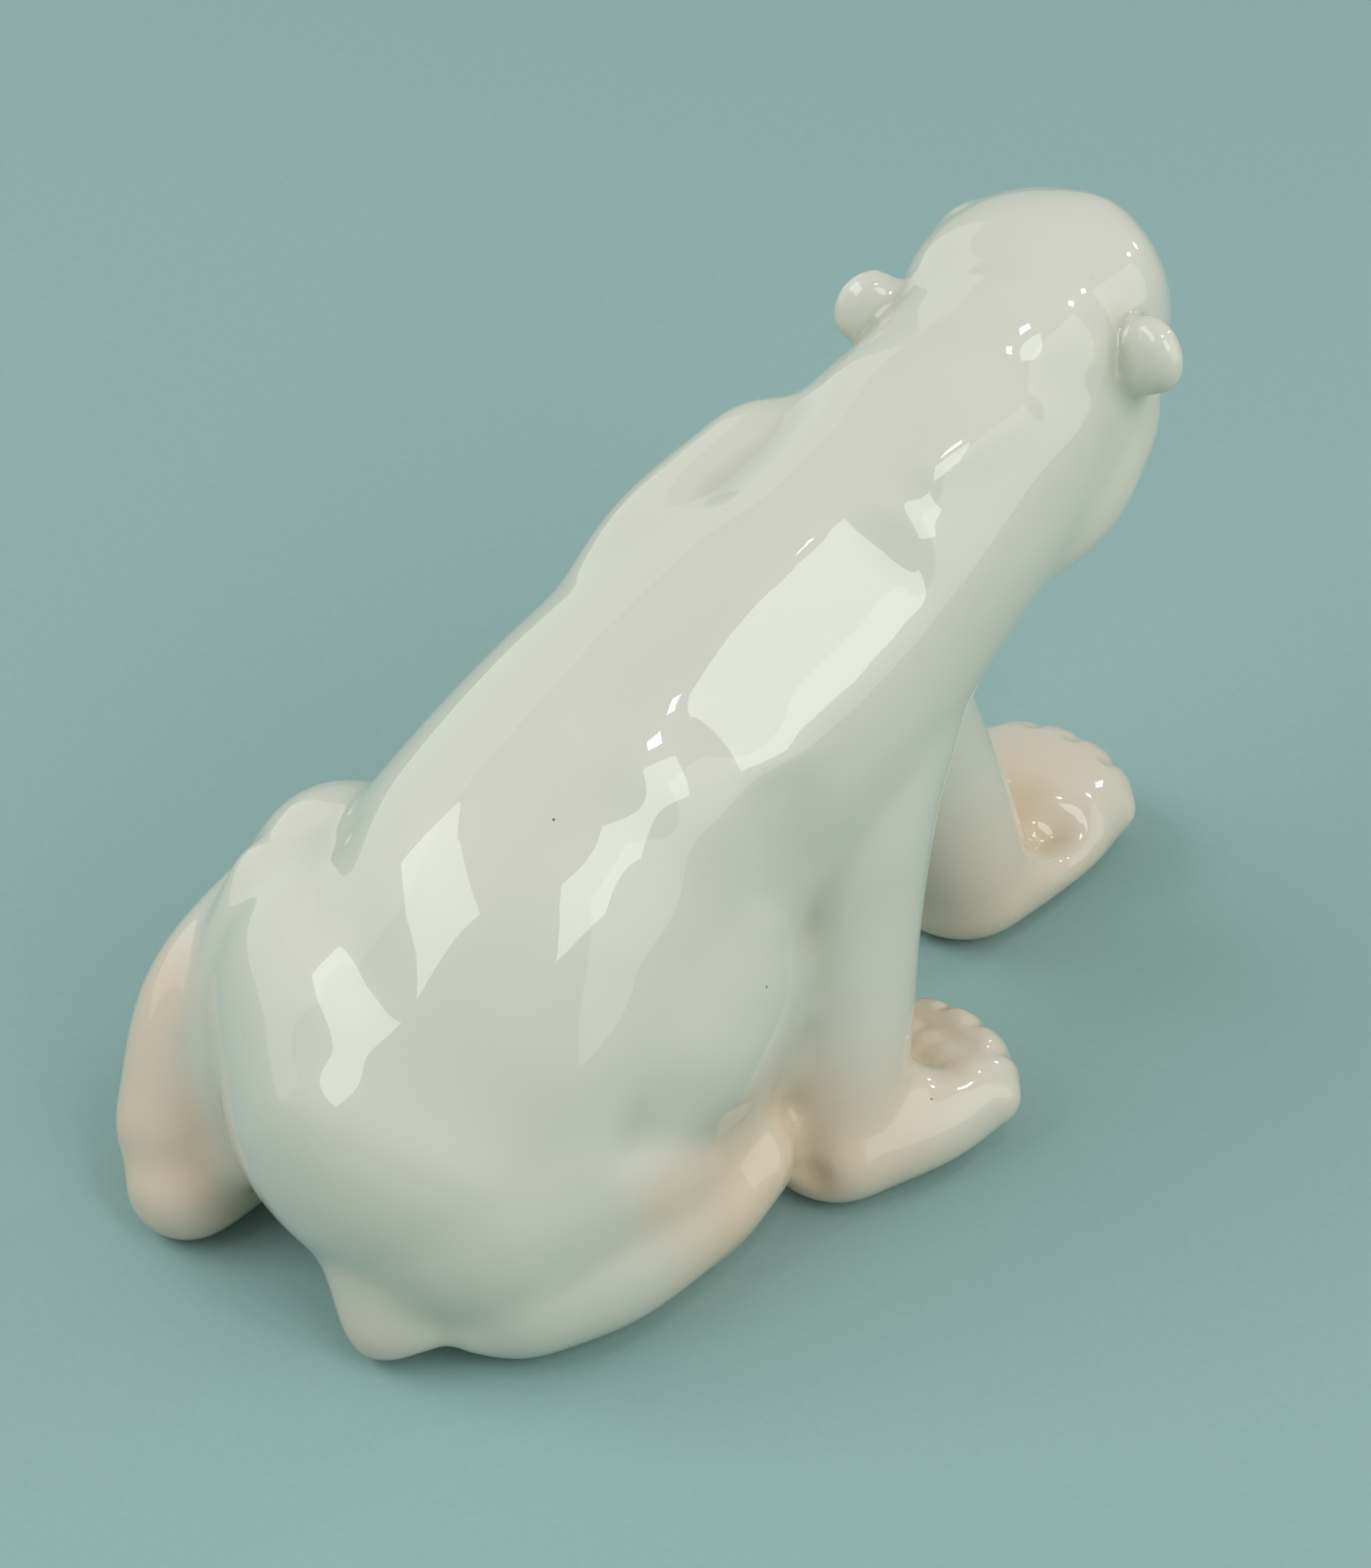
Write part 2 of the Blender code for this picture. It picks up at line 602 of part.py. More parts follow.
def cavity_form():
    """The inside of the casting: trunk, skull and haunches again, each drawn in by the wall.

    It sinks where the outside has a valley, so the wall keeps its thickness.
    """
    head_up = head_axes()[2]
    lofts = [
        loft(trunk_stations(WALL), caps=(0.8, 0.8)),
        loft(skull_stations(WALL)[:-1], head_up, (0.8, 0.8)),
    ]
    lofts += [loft(rows, caps=(0.7, 0.7)) for rows in haunch_stations(WALL)]
    cavity = blend("cavity", as_objects("hollow", lofts), CAVITY_VOXEL, CAVITY_PASSES, CAVITY_FACETS)
    return press(cavity, [mark for mark in body_marks() if mark[3] > 0])


def guide(obj):
    """Mark an object as a tool of the build, which isn't part of the model."""
    for collection in list(obj.users_collection):
        collection.objects.unlink(obj)
    guide_collection().objects.link(obj)
    obj.hide_render = True
    obj.display_type = "WIRE"
    return obj


def saw(name, start, direction, half_width, half_depth, length, grow=0.0, tube=False):
    """A box or a tube that starts at a seam and runs along a direction, round one casting.

    Grown by the seam's gap, it is what the rest of the body loses.
    """
    along = unit(direction)
    upright = UP if abs(along[0]) > 0.95 else FORWARD
    across = unit(np.cross(upright, along))
    through = np.cross(along, across)
    sizes = 2 * np.array([half_width + grow, half_depth + grow, length / 2 + grow])
    columns = metres(np.array([across, through, along]) * sizes[:, None]).T
    centre = metres(np.asarray(start) + along * length / 2)
    if tube:
        bpy.ops.mesh.primitive_cylinder_add(vertices=24, radius=0.5, depth=1.0)
    else:
        bpy.ops.mesh.primitive_cube_add(size=1.0)
    blade = bpy.context.object
    blade.name = name
    blade.data.transform(Matrix([[*row, place] for row, place in zip(columns, centre)] + [(0, 0, 0, 1)]))
    return guide(blade)


def carve(obj, tool, operation):
    """One exact Boolean with another solid."""
    modifier = obj.modifiers.new(operation.title(), "BOOLEAN")
    modifier.operation = operation
    modifier.solver = "EXACT"
    modifier.object = tool
    return settle(obj)


ROUND_SEAMS = ("left_ear", "right_ear", "tail")


def seams():
    """Where each casting is sawn off: name, start, direction, half width, half depth, length."""
    rows = []
    for name, side in (("left_ear", 1), ("right_ear", -1)):
        root, tip = np.array(ear_ends(side))
        start = root + unit(tip - root) * EAR_THICKNESS * 0.6
        rows.append((name, start, tip - root, EAR_WIDTH * 0.7, EAR_WIDTH * 0.7, EAR_WIDTH * 1.5))
    tail_root, tail_tip = tail_ends()
    tail_start = tail_root + (tail_tip - tail_root) * 0.42
    tail_half = TAIL_WIDTH * 0.85
    rows.append(("tail", tail_start, tail_tip - tail_root, tail_half, tail_half, TAIL_REACH * 2))
    neck = np.array(drawn(NECK))
    to_nape = np.array(drawn(NAPE)) - neck
    rows.append(("head_and_neck", neck, to_nape, NECK_WIDTH, NECK_DEPTH, MUZZLE_REACH * 2.4))
    fore_half = FORE_PAW_WIDTH / 2 + SAW_ROOM
    fore_reach = RIGHT_FORE_PAW_LENGTH + FORE_PAW_HEIGHT
    middle = RIGHT_FORE_PAW[0][1] - SAW_ROOM * 1.35
    fore_start = (HAUNCH_FRONT + fore_reach / 2, middle, RIGHT_LEG_SEAM_HEIGHT)
    fore_length = RIGHT_LEG_SEAM_HEIGHT * 1.5
    rows.append(("right_foreleg", fore_start, DOWN, fore_half, fore_reach / 2, fore_length))
    forward, left = LEFT_FORE_PAW[0]
    left_start = (forward + LEFT_FORE_PAW_LENGTH * 0.4, left + SAW_ROOM * 0.6, LEFT_LEG_SEAM_HEIGHT)
    left_half = LEFT_FORE_PAW_LENGTH + FORE_PAW_HEIGHT
    rows.append(("left_foreleg", left_start, DOWN, fore_half * 1.4, left_half, LEFT_LEG_SEAM_HEIGHT * 1.5))
    hind_half = HIND_PAW_WIDTH / 2 + SAW_ROOM
    low_half = HIND_PAW_SEAM_HEIGHT / 2 + SOLE_TRIM
    middle = RIGHT_HIND_PAW[0][1] - SAW_ROOM * 1.4
    low_start = (RIGHT_HIND_PAW_SEAM, middle, HIND_PAW_SEAM_HEIGHT - low_half)
    rows.append(("right_hind_paw", low_start, FORWARD, hind_half, low_half, HIND_PAW_WIDTH * 1.2))
    forward, left = LEFT_HIND_PAW[0]
    back_start = (forward + LEFT_HIND_PAW_LENGTH * 0.6, left + SAW_ROOM * 2, HIND_PAW_SEAM_HEIGHT)
    back_half = (hind_half + SOLE_TRIM, LEFT_HIND_PAW_LENGTH * 1.06)
    rows.append(("left_hind_paw", back_start, DOWN, *back_half, HIND_PAW_SEAM_HEIGHT * 1.6))
    return rows


def sole_plane():
    """A block under the ground, which leaves the soles and the seat flat."""
    start = (LENGTH / 2, 0.0, SOLE_TRIM)
    return saw("sole_plane", start, DOWN, LENGTH, LENGTH, HEIGHT)


def vent():
    """The hole in the seat that lets steam out of the hollow body in the kiln."""
    bpy.ops.mesh.primitive_cylinder_add(
        vertices=16, radius=VENT_DIAMETER / 2 * MM, depth=VENT_DEPTH * MM, location=metres(drawn(VENT))
    )
    hole = bpy.context.object
    hole.name = "vent"
    return guide(hole)


def ear_cup(side):
    """The round hollow in the front of an ear."""
    radius = EAR_WIDTH * 0.36
    tip = np.array(ear_ends(side)[1])
    centre = tip + head_axes()[0] * (EAR_THICKNESS / 2 - EAR_CUP_DEPTH + radius)
    bpy.ops.mesh.primitive_uv_sphere_add(
        segments=20, ring_count=12, radius=radius * MM, location=metres(centre)
    )
    cup = bpy.context.object
    cup.name = "left_ear_cup" if side > 0 else "right_ear_cup"
    return guide(cup)


def duplicate(obj, name):
    """The same solid again under another name."""
    copy = bpy.data.objects.new(name, obj.data.copy())
    guide_collection().objects.link(copy)
    return copy


def sawn(body):
    """Each casting by its name, with the start of its seam. What is left is the trunk."""
    castings = {}
    for name, start, direction, half_width, half_depth, length in seams():
        spec = (start, direction, half_width, half_depth, length)
        tube = name in ROUND_SEAMS
        piece = duplicate(body, name)
        carve(piece, saw(name + "_saw", *spec, tube=tube), "INTERSECT")
        carve(body, saw(name + "_kerf", *spec, grow=SEAM_GAP, tube=tube), "DIFFERENCE")
        castings[name] = (piece, start)
    for name, side in (("left_ear", 1), ("right_ear", -1)):
        carve(castings[name][0], ear_cup(side), "DIFFERENCE")
    body.name = "trunk_and_haunches"
    castings[body.name] = (body, drawn(SEAT))
    return castings


def glaze(name, colour):
    """Clear glossy glaze over a fired body of the given colour."""
    material = bpy.data.materials.new(name)
    material.use_nodes = True
    shader = material.node_tree.nodes["Principled BSDF"]
    shader.inputs["Base Color"].default_value = (*colour, 1.0)
    shader.inputs["Roughness"].default_value = 0.08
    shader.inputs["Metallic"].default_value = 0.0
    shader.inputs["Coat Weight"].default_value = 1.0
    return material


WHITE_GLAZE = (0.62, 0.63, 0.57)
BLUSH_GLAZE = (0.66, 0.58, 0.49)
BLUSHED = ("left_foreleg", "right_foreleg", "left_hind_paw", "right_hind_paw")


def finish(pieces, name, piece, seat, base):
    """Place a casting in the model, its own origin on its seam, smooth and glazed."""
    origin = Vector(metres(seat)) - base
    piece.data.transform(Matrix.Translation(-Vector(metres(seat))))
    piece.location = origin
    guide_collection().objects.unlink(piece)
    pieces.objects.link(piece)
    piece.data.materials.clear()
    piece.data.materials.append(glaze(name + "_glaze", BLUSH_GLAZE if name in BLUSHED else WHITE_GLAZE))
    piece.data.shade_smooth()
    piece.data.set_sharp_from_angle(angle=math.radians(50))


def ground_centre(obj):
    """The middle of the object's box, at its bottom."""
    corners = np.array([obj.matrix_world @ Vector(corner) for corner in obj.bound_box])
    low = corners.min(0)
    high = corners.max(0)
    return Vector(((low[0] + high[0]) / 2, (low[1] + high[1]) / 2, low[2]))


def main():
    """Build the bear, hollow it, and saw it into its castings."""
    for obj in list(bpy.data.objects):
        bpy.data.objects.remove(obj)
    pieces = bpy.data.collections.new("polar_bear_figurine")
    bpy.context.scene.collection.children.link(pieces)
    body = body_form()
    carve(body, sole_plane(), "DIFFERENCE")
    base = ground_centre(body)
    carve(body, guide(cavity_form()), "DIFFERENCE")
    carve(body, vent(), "DIFFERENCE")
    stand = bpy.data.objects.new("bear", None)
    pieces.objects.link(stand)
    for name, (piece, seat) in sawn(body).items():
        finish(pieces, name, piece, seat, base)
        piece.parent = stand


main()
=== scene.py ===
"""The looks of a seated polar bear figurine in glazed porcelain, round its packed castings.

The bear is blended once more as one soft skin, finer than the solids, then carved, painted
and parted along the same seams, so that each casting gets its glazed piece.

Lengths are millimetres, and turn into metres where a mesh is made. A place is written as
forward, left, up: forward from the tail end, to the bear's own left, above the ground.
Forward is -Y in the scene, left is +X and up is +Z.
"""
import json
import math

import bpy
import numpy as np
from mathutils import Matrix, Vector

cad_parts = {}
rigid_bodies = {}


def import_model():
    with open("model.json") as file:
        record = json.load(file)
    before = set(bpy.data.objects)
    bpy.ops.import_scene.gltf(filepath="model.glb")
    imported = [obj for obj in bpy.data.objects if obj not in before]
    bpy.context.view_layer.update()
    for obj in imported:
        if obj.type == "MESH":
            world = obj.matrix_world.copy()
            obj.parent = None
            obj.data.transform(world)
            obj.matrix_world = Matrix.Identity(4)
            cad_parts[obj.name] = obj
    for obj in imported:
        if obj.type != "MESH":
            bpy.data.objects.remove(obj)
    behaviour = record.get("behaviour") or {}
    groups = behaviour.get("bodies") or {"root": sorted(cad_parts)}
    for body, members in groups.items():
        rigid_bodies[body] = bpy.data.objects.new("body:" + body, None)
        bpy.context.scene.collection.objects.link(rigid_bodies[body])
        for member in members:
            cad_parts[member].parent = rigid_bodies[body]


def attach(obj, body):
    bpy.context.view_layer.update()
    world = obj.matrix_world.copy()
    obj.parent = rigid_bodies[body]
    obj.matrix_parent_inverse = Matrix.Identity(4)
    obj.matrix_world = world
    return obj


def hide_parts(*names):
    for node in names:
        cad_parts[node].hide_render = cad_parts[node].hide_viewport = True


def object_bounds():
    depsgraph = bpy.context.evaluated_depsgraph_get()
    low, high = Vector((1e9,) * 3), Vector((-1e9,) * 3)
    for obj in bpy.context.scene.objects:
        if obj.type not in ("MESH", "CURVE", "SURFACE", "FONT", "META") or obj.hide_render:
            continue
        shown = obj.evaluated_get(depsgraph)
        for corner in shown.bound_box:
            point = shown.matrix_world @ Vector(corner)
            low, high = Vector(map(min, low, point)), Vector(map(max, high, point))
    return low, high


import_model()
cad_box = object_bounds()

MM = 0.001

# The whole figure. Places are drawn in per cent of its length, width and height
LENGTH = 167.0
WIDTH = 90.0
HEIGHT = 119.0

# The vent in the seat, and what is wiped off the soles to make them flat
VENT_DIAMETER = 5.0
VENT_DEPTH = 30.0
SOLE_TRIM = 0.8

# The trunk, across and through it, from the rump up to the nape
RUMP_WIDTH = 50.0
RUMP_DEPTH = 45.0
HIP_WIDTH = 57.6
HIP_DEPTH = 53.0
BELLY_WIDTH = 58.0
BELLY_DEPTH = 56.4
LOIN_WIDTH = 53.0
LOIN_DEPTH = 55.0
CHEST_WIDTH = 50.0
CHEST_DEPTH = 51.0
WITHERS_WIDTH = 43.0
WITHERS_DEPTH = 42.0
NECK_WIDTH = 38.0
NECK_DEPTH = 39.0
NAPE_WIDTH = 36.0
NAPE_DEPTH = 37.0
THROAT_WIDTH = 21.0

# The head, turned to its left and bent down. Places on it are drawn in shares of the
# muzzle's reach, the skull's width and the skull's depth
HEAD_YAW = 24.0
HEAD_PITCH = -20.0
SKULL_WIDTH = 35.4
SKULL_DEPTH = 32.6
BRIDGE_WIDTH = 31.0
BRIDGE_DEPTH = 29.6
CHEEK_WIDTH = 17.0
BROW_WIDTH = 14.8
MUZZLE_WIDTH = 21.6
MUZZLE_DEPTH = 22.0
MUZZLE_REACH = 34.5
LIP_WIDTH = 15.6
NOSE_WIDTH = 9.6
NOSE_DEPTH = 6.8
EYE_DIAMETER = 5.0
EAR_WIDTH = 10.8
EAR_THICKNESS = 6.0
EAR_CUP_DEPTH = 1.2

# The legs
BLADE_WIDTH = 26.0
SHOULDER_WIDTH = 26.0
SHOULDER_DEPTH = 29.0
UPPER_ARM_WIDTH = 25.0
UPPER_ARM_DEPTH = 28.0
FOREARM_WIDTH = 21.0
FOREARM_DEPTH = 23.0
WRIST_WIDTH = 20.0
WRIST_DEPTH = 21.0
FORE_PAW_WIDTH = 28.0
FORE_PAW_HEIGHT = 18.0
RIGHT_FORE_PAW_LENGTH = 21.0
LEFT_FORE_PAW_LENGTH = 26.0
FORE_TOE_WIDTH = 8.0
HAUNCH_WIDTH = 37.0
HAUNCH_DEPTH = 50.0
KNEE_WIDTH = 24.0
KNEE_DEPTH = 26.0
FOLDED_LEG_WIDTH = 27.0
FOLDED_LEG_DEPTH = 30.0
SHIN_WIDTH = 21.0
SHIN_DEPTH = 27.0
HIND_PAW_WIDTH = 22.0
HIND_PAW_HEIGHT = 17.0
RIGHT_HIND_PAW_LENGTH = 19.0
LEFT_HIND_PAW_LENGTH = 33.0
HIND_TOE_WIDTH = 6.0
HIND_TOE_LIFT = 6.4
TOE_COUNT = 5

# The tail, and the swelling that it grows from
TAIL_WIDTH = 8.0
TAIL_REACH = 9.0
TAIL_ROOT_WIDTH = 30.0
TAIL_ROOT_DEPTH = 23.0

# The modeller's thumb, whose marks are soft valleys
THUMB_RADIUS = 5.0

# Where the castings are sawn apart, and the room that a saw leaves beside a paw
LEFT_LEG_SEAM_HEIGHT = 48.0
RIGHT_LEG_SEAM_HEIGHT = 30.0
HIND_PAW_SEAM_HEIGHT = 15.5
HAUNCH_FRONT = 64.5
RIGHT_HIND_PAW_SEAM = 44.0
SAW_ROOM = 3.2

# Softening of the skin alone: a strip of clay in the valley beside the left shin, and how
# often the damp sponge goes over a place
VALLEY_WIDTH = 14.0
SPONGE_PASSES = 20

# The flat tool's mark on the right shoulder: where it lies, which way it faces, how deep it
# bites, how far it reaches, and the share of the clay beyond it that sinks
FLAT_PLACE = (39.8, -23.3, 73.1)
FLAT_AZIMUTH = 235.0
FLAT_ELEVATION = 40.0
FLAT_DEPTH = 1.8
FLAT_REACH = 22.0
FLAT_SHARE = 0.8

# Grooves between the toes: how wide and deep they are, and at which turns from level, in
# radians, the two strokes of each one start and end on the front of a paw
GROOVE_RADIUS = 1.1
GROOVE_DEPTH = 0.65
GROOVE_TURNS = (1.2, 0.48, 0.26, -0.6)

# How finely the forms are blended: the same reach of smoothing as in the solids
BODY_VOXEL = 1.2
BODY_PASSES = 22
SKIN_VOXEL = 0.7
SKIN_PASSES = 14

# Glaze runs together in hollows, and the same darker tint paints shade into them as well. How
# many passes level out a groove and a valley, and how much pooled glaze and painted shade each
# one gets to a millimetre of its depth
GROOVE_PASSES = 14
VALLEY_PASSES = 110
GLAZE_AND_SHADE_IN_GROOVES = 1.6
GLAZE_AND_SHADE_IN_VALLEYS = 0.25

# Sizes of the patterns. The glaze's body colour clouds over some centimetres, and a dipped
# glaze dries with a ripple as wide as a fingertip and a few hundredths high
CLOUD_SIZE = 26.0
RIPPLE_SIZE = 9.0
RIPPLE_HEIGHT = 0.03
# Sprayed drops measure 0.1 to 0.3 mm. They are drawn coarser here, so that they show
DROP_SIZE = 0.9
# Iron specks and pinholes: one spot at most to a cell, the share of cells that stay bare,
# and a spot's core and rim in shares of a cell, which make it 0.3 to 0.4 mm wide
SPECK_SPACING = 6.5
SPECK_FREE = 0.8
SPECK_CORE = 0.022
SPECK_RIM = 0.034
# The kiln shelf's stains on the soles, and their grit, which is really finer than 0.1 mm and
# drawn coarser, so that it shows
STAIN_SIZE = 7.0
GRIT_SIZE = 0.3
GRIT_HEIGHT = 0.02
# The cloth's grain, some three threads wide, because one thread is too fine to show
NAP_SIZE = 1.2

# How finely a loft is drawn: points to a ring, steps from station to station, and the angles
# of the rings that close it
RING_POINTS = 32
SPAN_STEPS = 5
CAP_ANGLES = (18.0, 36.0, 54.0, 72.0, 86.0)

# The Mix node's inputs and its output for colours, by number, because their names are shared
SHARE, FIRST, SECOND, MIXED = 0, 6, 7, 2

FORWARD = (1.0, 0.0, 0.0)
UP = (0.0, 0.0, 1.0)
DOWN = (0.0, 0.0, -1.0)

# Places on the drawing that more than one form or seam starts from
SEAT = (9.0, 2.2, 23.5)
NECK = (65.9, -13.3, 77.7)
NAPE = (73.7, -12.2, 82.8)
HEAD_CENTRE = (75.7, -11.1, 85.7)
TAIL_ROOT = (4.8, -0.6, 10.9)
VENT = (20.4, 8.9, 9.2)


# Places on the figure


def unit(vector):
    """The vector at length one."""
    vector = np.asarray(vector, float)
    return vector / np.linalg.norm(vector)


def metres(places):
    """Forward, left, up in millimetres as X, Y, Z in metres."""
    places = np.asarray(places, float)
    return np.stack([places[..., 1], -places[..., 0], places[..., 2]], -1) * MM


def drawn(place):
    """A place of the drawing, in per cent of the figure, in millimetres."""
    return tuple(np.array(place, float) * (LENGTH, WIDTH, HEIGHT) / 100)


def station(place, width, depth):
    """A station of a loft: a place of the drawing, and half of each size."""
    return (*drawn(place), width / 2, depth / 2)


def head_axes():
    """The head's own directions: along the muzzle, to its left, and upwards."""
    yaw = math.radians(HEAD_YAW)
    pitch = math.radians(HEAD_PITCH)
    along = np.array([math.cos(pitch) * math.cos(yaw), math.cos(pitch) * math.sin(yaw), math.sin(pitch)])
    aside = np.array([-math.sin(yaw), math.cos(yaw), 0.0])
    return along, aside, np.cross(along, aside)


def head_place(along, aside, above):
    """A place on the head in millimetres, from its shares along, aside and above the centre."""
    forward, left, up = head_axes()
    offset = along * MUZZLE_REACH * forward + aside * SKULL_WIDTH * left + above * SKULL_DEPTH * up
    return tuple(np.array(drawn(HEAD_CENTRE)) + offset)


def head_station(place, width, depth):
    """A station of a loft on the head."""
    return (*head_place(*place), width / 2, depth / 2)


# Lofts, the clay that everything is built up from


def smooth_path(stations):
    """A Catmull-Rom curve: p(t) is the cubic through two stations whose slope at each is half
    the step from the station before it to the one after it."""
    rows = np.asarray(stations, float)
    padded = np.vstack([2 * rows[0] - rows[1], rows, 2 * rows[-1] - rows[-2]])
    p0, p1, p2, p3 = (padded[k:len(padded) - 3 + k, None] for k in range(4))
    t = np.linspace(0, 1, SPAN_STEPS, endpoint=False)[None, :, None]
    slope = (p2 - p0) * t
    square = (2 * p0 - 5 * p1 + 4 * p2 - p3) * t ** 2
    cube = (3 * p1 - p0 - 3 * p2 + p3) * t ** 3
    spans = 0.5 * (2 * p1 + slope + square + cube)
    return np.vstack([spans.reshape(-1, rows.shape[1]), rows[-1:]])


def loft(stations, upright=UP, caps=(1.0, 1.0)):
    """Elliptical rings along a spine, closed by domes: a point is the spine's place, plus
    half the width times the cosine of the turn across it, plus half the depth times the sine
    through it. A dome's ring at angle a stands out by its reach times sin a and shrinks by
    cos a. A station is forward, left, up, half the width and half the depth."""
    path = smooth_path(stations)
    centres = path[:, :3]
    halves = path[:, 3:5]
    tangents = np.gradient(centres, axis=0)
    tangents /= np.linalg.norm(tangents, axis=1)[:, None]
    angles = np.radians(CAP_ANGLES)[:, None]
    start = centres[0] - tangents[0] * halves[0].mean() * caps[0] * np.sin(angles[::-1])
    end = centres[-1] + tangents[-1] * halves[-1].mean() * caps[1] * np.sin(angles)
    centres = np.vstack([start, centres, end])
    halves = np.vstack([halves[0] * np.cos(angles[::-1]), halves, halves[-1] * np.cos(angles)])
    repeat = np.ones((len(CAP_ANGLES), 1))
    tangents = np.vstack([tangents[0] * repeat, tangents, tangents[-1] * repeat])
    side = np.cross(np.asarray(upright, float), tangents)
    side /= np.linalg.norm(side, axis=1)[:, None]
    above = np.cross(tangents, side)
    turn = np.linspace(0, 2 * math.pi, RING_POINTS, endpoint=False)[None, :, None]
    across = side[:, None] * halves[:, 0, None, None] * np.cos(turn)
    through = above[:, None] * halves[:, 1, None, None] * np.sin(turn)
    return centres[:, None] + across + through


def ring_faces(rings, around):
    """Quads between neighbouring rings, and a fan at each end to its pole."""
    ring = np.arange(rings - 1)[:, None] * around
    here = np.arange(around)[None, :]
    after = (here + 1) % around
    quads = np.stack([ring + here, ring + after, ring + around + after, ring + around + here], -1)
    last = (rings - 1) * around
    poles = np.full((2, around), rings * around) + [[0], [1]]
    start = np.stack([after[0], here[0], poles[0]], -1)
    end = np.stack([last + here[0], last + after[0], poles[1]], -1)
    return quads.reshape(-1, 4).tolist() + start.tolist() + end.tolist()


def shown(name, data):
    """A new object in the scene that shows the data."""
    made = bpy.data.objects.new(name, data)
    bpy.context.scene.collection.objects.link(made)
    return made


def loft_object(name, rings):
    """One closed mesh round the rings of a loft."""
    poles = np.stack([rings[0].mean(0), rings[-1].mean(0)])
    points = metres(np.vstack([rings.reshape(-1, 3), poles]))
    mesh = bpy.data.meshes.new(name)
    mesh.from_pydata(points.tolist(), [], ring_faces(len(rings), RING_POINTS))
    return shown(name, mesh)


# Melting the clay together, and the marks of thumb and tool


def settle(obj):
    """Keep the shape that the object's modifiers give it."""
    graph = bpy.context.evaluated_depsgraph_get()
    mesh = bpy.data.meshes.new_from_object(obj.evaluated_get(graph))
    obj.modifiers.clear()
    obj.data = mesh
    return obj


def blend(name, objects, voxel, passes):
    """Melt overlapping solids into one skin: a voxel remesh, then passes of smoothing."""
    for obj in bpy.context.scene.objects:
        obj.select_set(obj in objects)
    bpy.context.view_layer.objects.active = objects[0]
    bpy.ops.object.join()
    whole = bpy.context.view_layer.objects.active
    whole.name = name
    remesh = whole.modifiers.new("Remesh", "REMESH")
    remesh.mode = "VOXEL"
    remesh.voxel_size = voxel * MM
    smooth = whole.modifiers.new("Smooth", "SMOOTH")
    smooth.factor = 0.5
    smooth.iterations = passes
    return settle(whole)


def stroke(points, start, end, radius):
    """A bell round a line: e to the power of minus the squared distance over the radius."""
    start = np.array(start, float)
    line = np.array(end, float) - start
    along = np.clip((points - start) @ line / (line @ line), 0, 1)
    distance = np.linalg.norm(points - start - along[:, None] * line, axis=1)
    return np.exp(-(distance / radius) ** 2)


def values(items, key, columns, kind=np.float32):
    """What every item of a mesh holds under a key, in rows of so many columns."""
    flat = np.empty(len(items) * columns, kind)
    items.foreach_get(key, flat)
    return flat.reshape(-1, columns)


def read(mesh):
    """Points in millimetres as forward, left, up, and outward directions, of every vertex."""
    points = values(mesh.vertices, "co", 3).astype(float)
    normals = values(mesh.vertex_normals, "vector", 3)
    to_body = np.array([[0, 1, 0], [-1, 0, 0], [0, 0, 1]], float)
    return points @ to_body / MM, normals @ to_body


def write(mesh, points):
    """The points put back into the mesh."""
    mesh.vertices.foreach_set("co", metres(points).ravel())
    mesh.update()


def press(mesh, marks):
    """Thumb marks. Each point moves against its normal by the depth times the bell round the
    mark's line. A mark is start, end, radius, depth."""
    points, normals = read(mesh)
    sink = sum(depth * stroke(points, start, end, radius) for start, end, radius, depth in marks)
    write(mesh, points - normals * sink[:, None])


def by_thumb(rows):
    """Strokes in millimetres, from two places of the drawing and sizes in shares of the thumb."""
    return [(drawn(start), drawn(end), *(THUMB_RADIUS * np.array(sizes))) for start, end, *sizes in rows]


# The big masses


def body_marks():
    """Soft valleys of the body, with their radius and depth. A negative depth raises the clay
    instead."""
    rows = [
        ((16.8, -31.1, 31.1), (27.5, -33.3, 21.0), 1.25, 0.95),
        ((34.1, -24.4, 67.2), (35.3, -30.0, 50.4), 1.0, 0.48),
        ((46.7, 2.2, 82.4), (53.9, 0.0, 86.6), 1.0, 0.24),
        ((14.4, 23.3, 50.4), (6.0, 4.4, 46.2), 1.0, 0.2),
        ((80.2, 10.0, 16.0), (83.2, -10.0, 10.9), 0.9, 1.3),
        ((52.7, -23.3, 16.0), (51.5, -32.2, 15.1), 0.9, 0.95),
        ((37.1, -22.2, 16.8), (35.9, -31.1, 6.7), 0.5, 0.45),
    ]
    return by_thumb(rows)


def trunk_stations():
    """The barrel of the body from the rump to the nape."""
    return [
        station(SEAT, RUMP_WIDTH, RUMP_DEPTH),
        station((15.6, 3.6, 29.8), HIP_WIDTH, HIP_DEPTH),
        station((23.4, 3.6, 37.0), BELLY_WIDTH, BELLY_DEPTH),
        station((34.1, 1.7, 47.5), LOIN_WIDTH, LOIN_DEPTH),
        station((46.7, -5.6, 60.1), CHEST_WIDTH, CHEST_DEPTH),
        station((56.9, -11.1, 71.0), WITHERS_WIDTH, WITHERS_DEPTH),
        station(NECK, NECK_WIDTH, NECK_DEPTH),
        station(NAPE, NAPE_WIDTH, NAPE_DEPTH),
    ]


def skull_stations():
    """The skull and the muzzle, from the back of the head to the nose."""
    return [
        head_station((-0.290, 0.000, -0.031), SKULL_WIDTH * 0.8, SKULL_DEPTH * 0.8),
        head_station((-0.087, 0.000, 0.031), SKULL_WIDTH, SKULL_DEPTH),
        head_station((0.174, 0.000, 0.049), SKULL_WIDTH, SKULL_DEPTH),
        head_station((0.377, 0.000, -0.012), BRIDGE_WIDTH, BRIDGE_DEPTH),
        head_station((0.609, 0.000, -0.098), MUZZLE_WIDTH * 1.16, MUZZLE_DEPTH * 1.12),
        head_station((0.826, 0.000, -0.153), MUZZLE_WIDTH, MUZZLE_DEPTH),
        head_station((1.0, 0.0, -0.178), MUZZLE_WIDTH * 0.9, MUZZLE_DEPTH * 0.88),
    ]


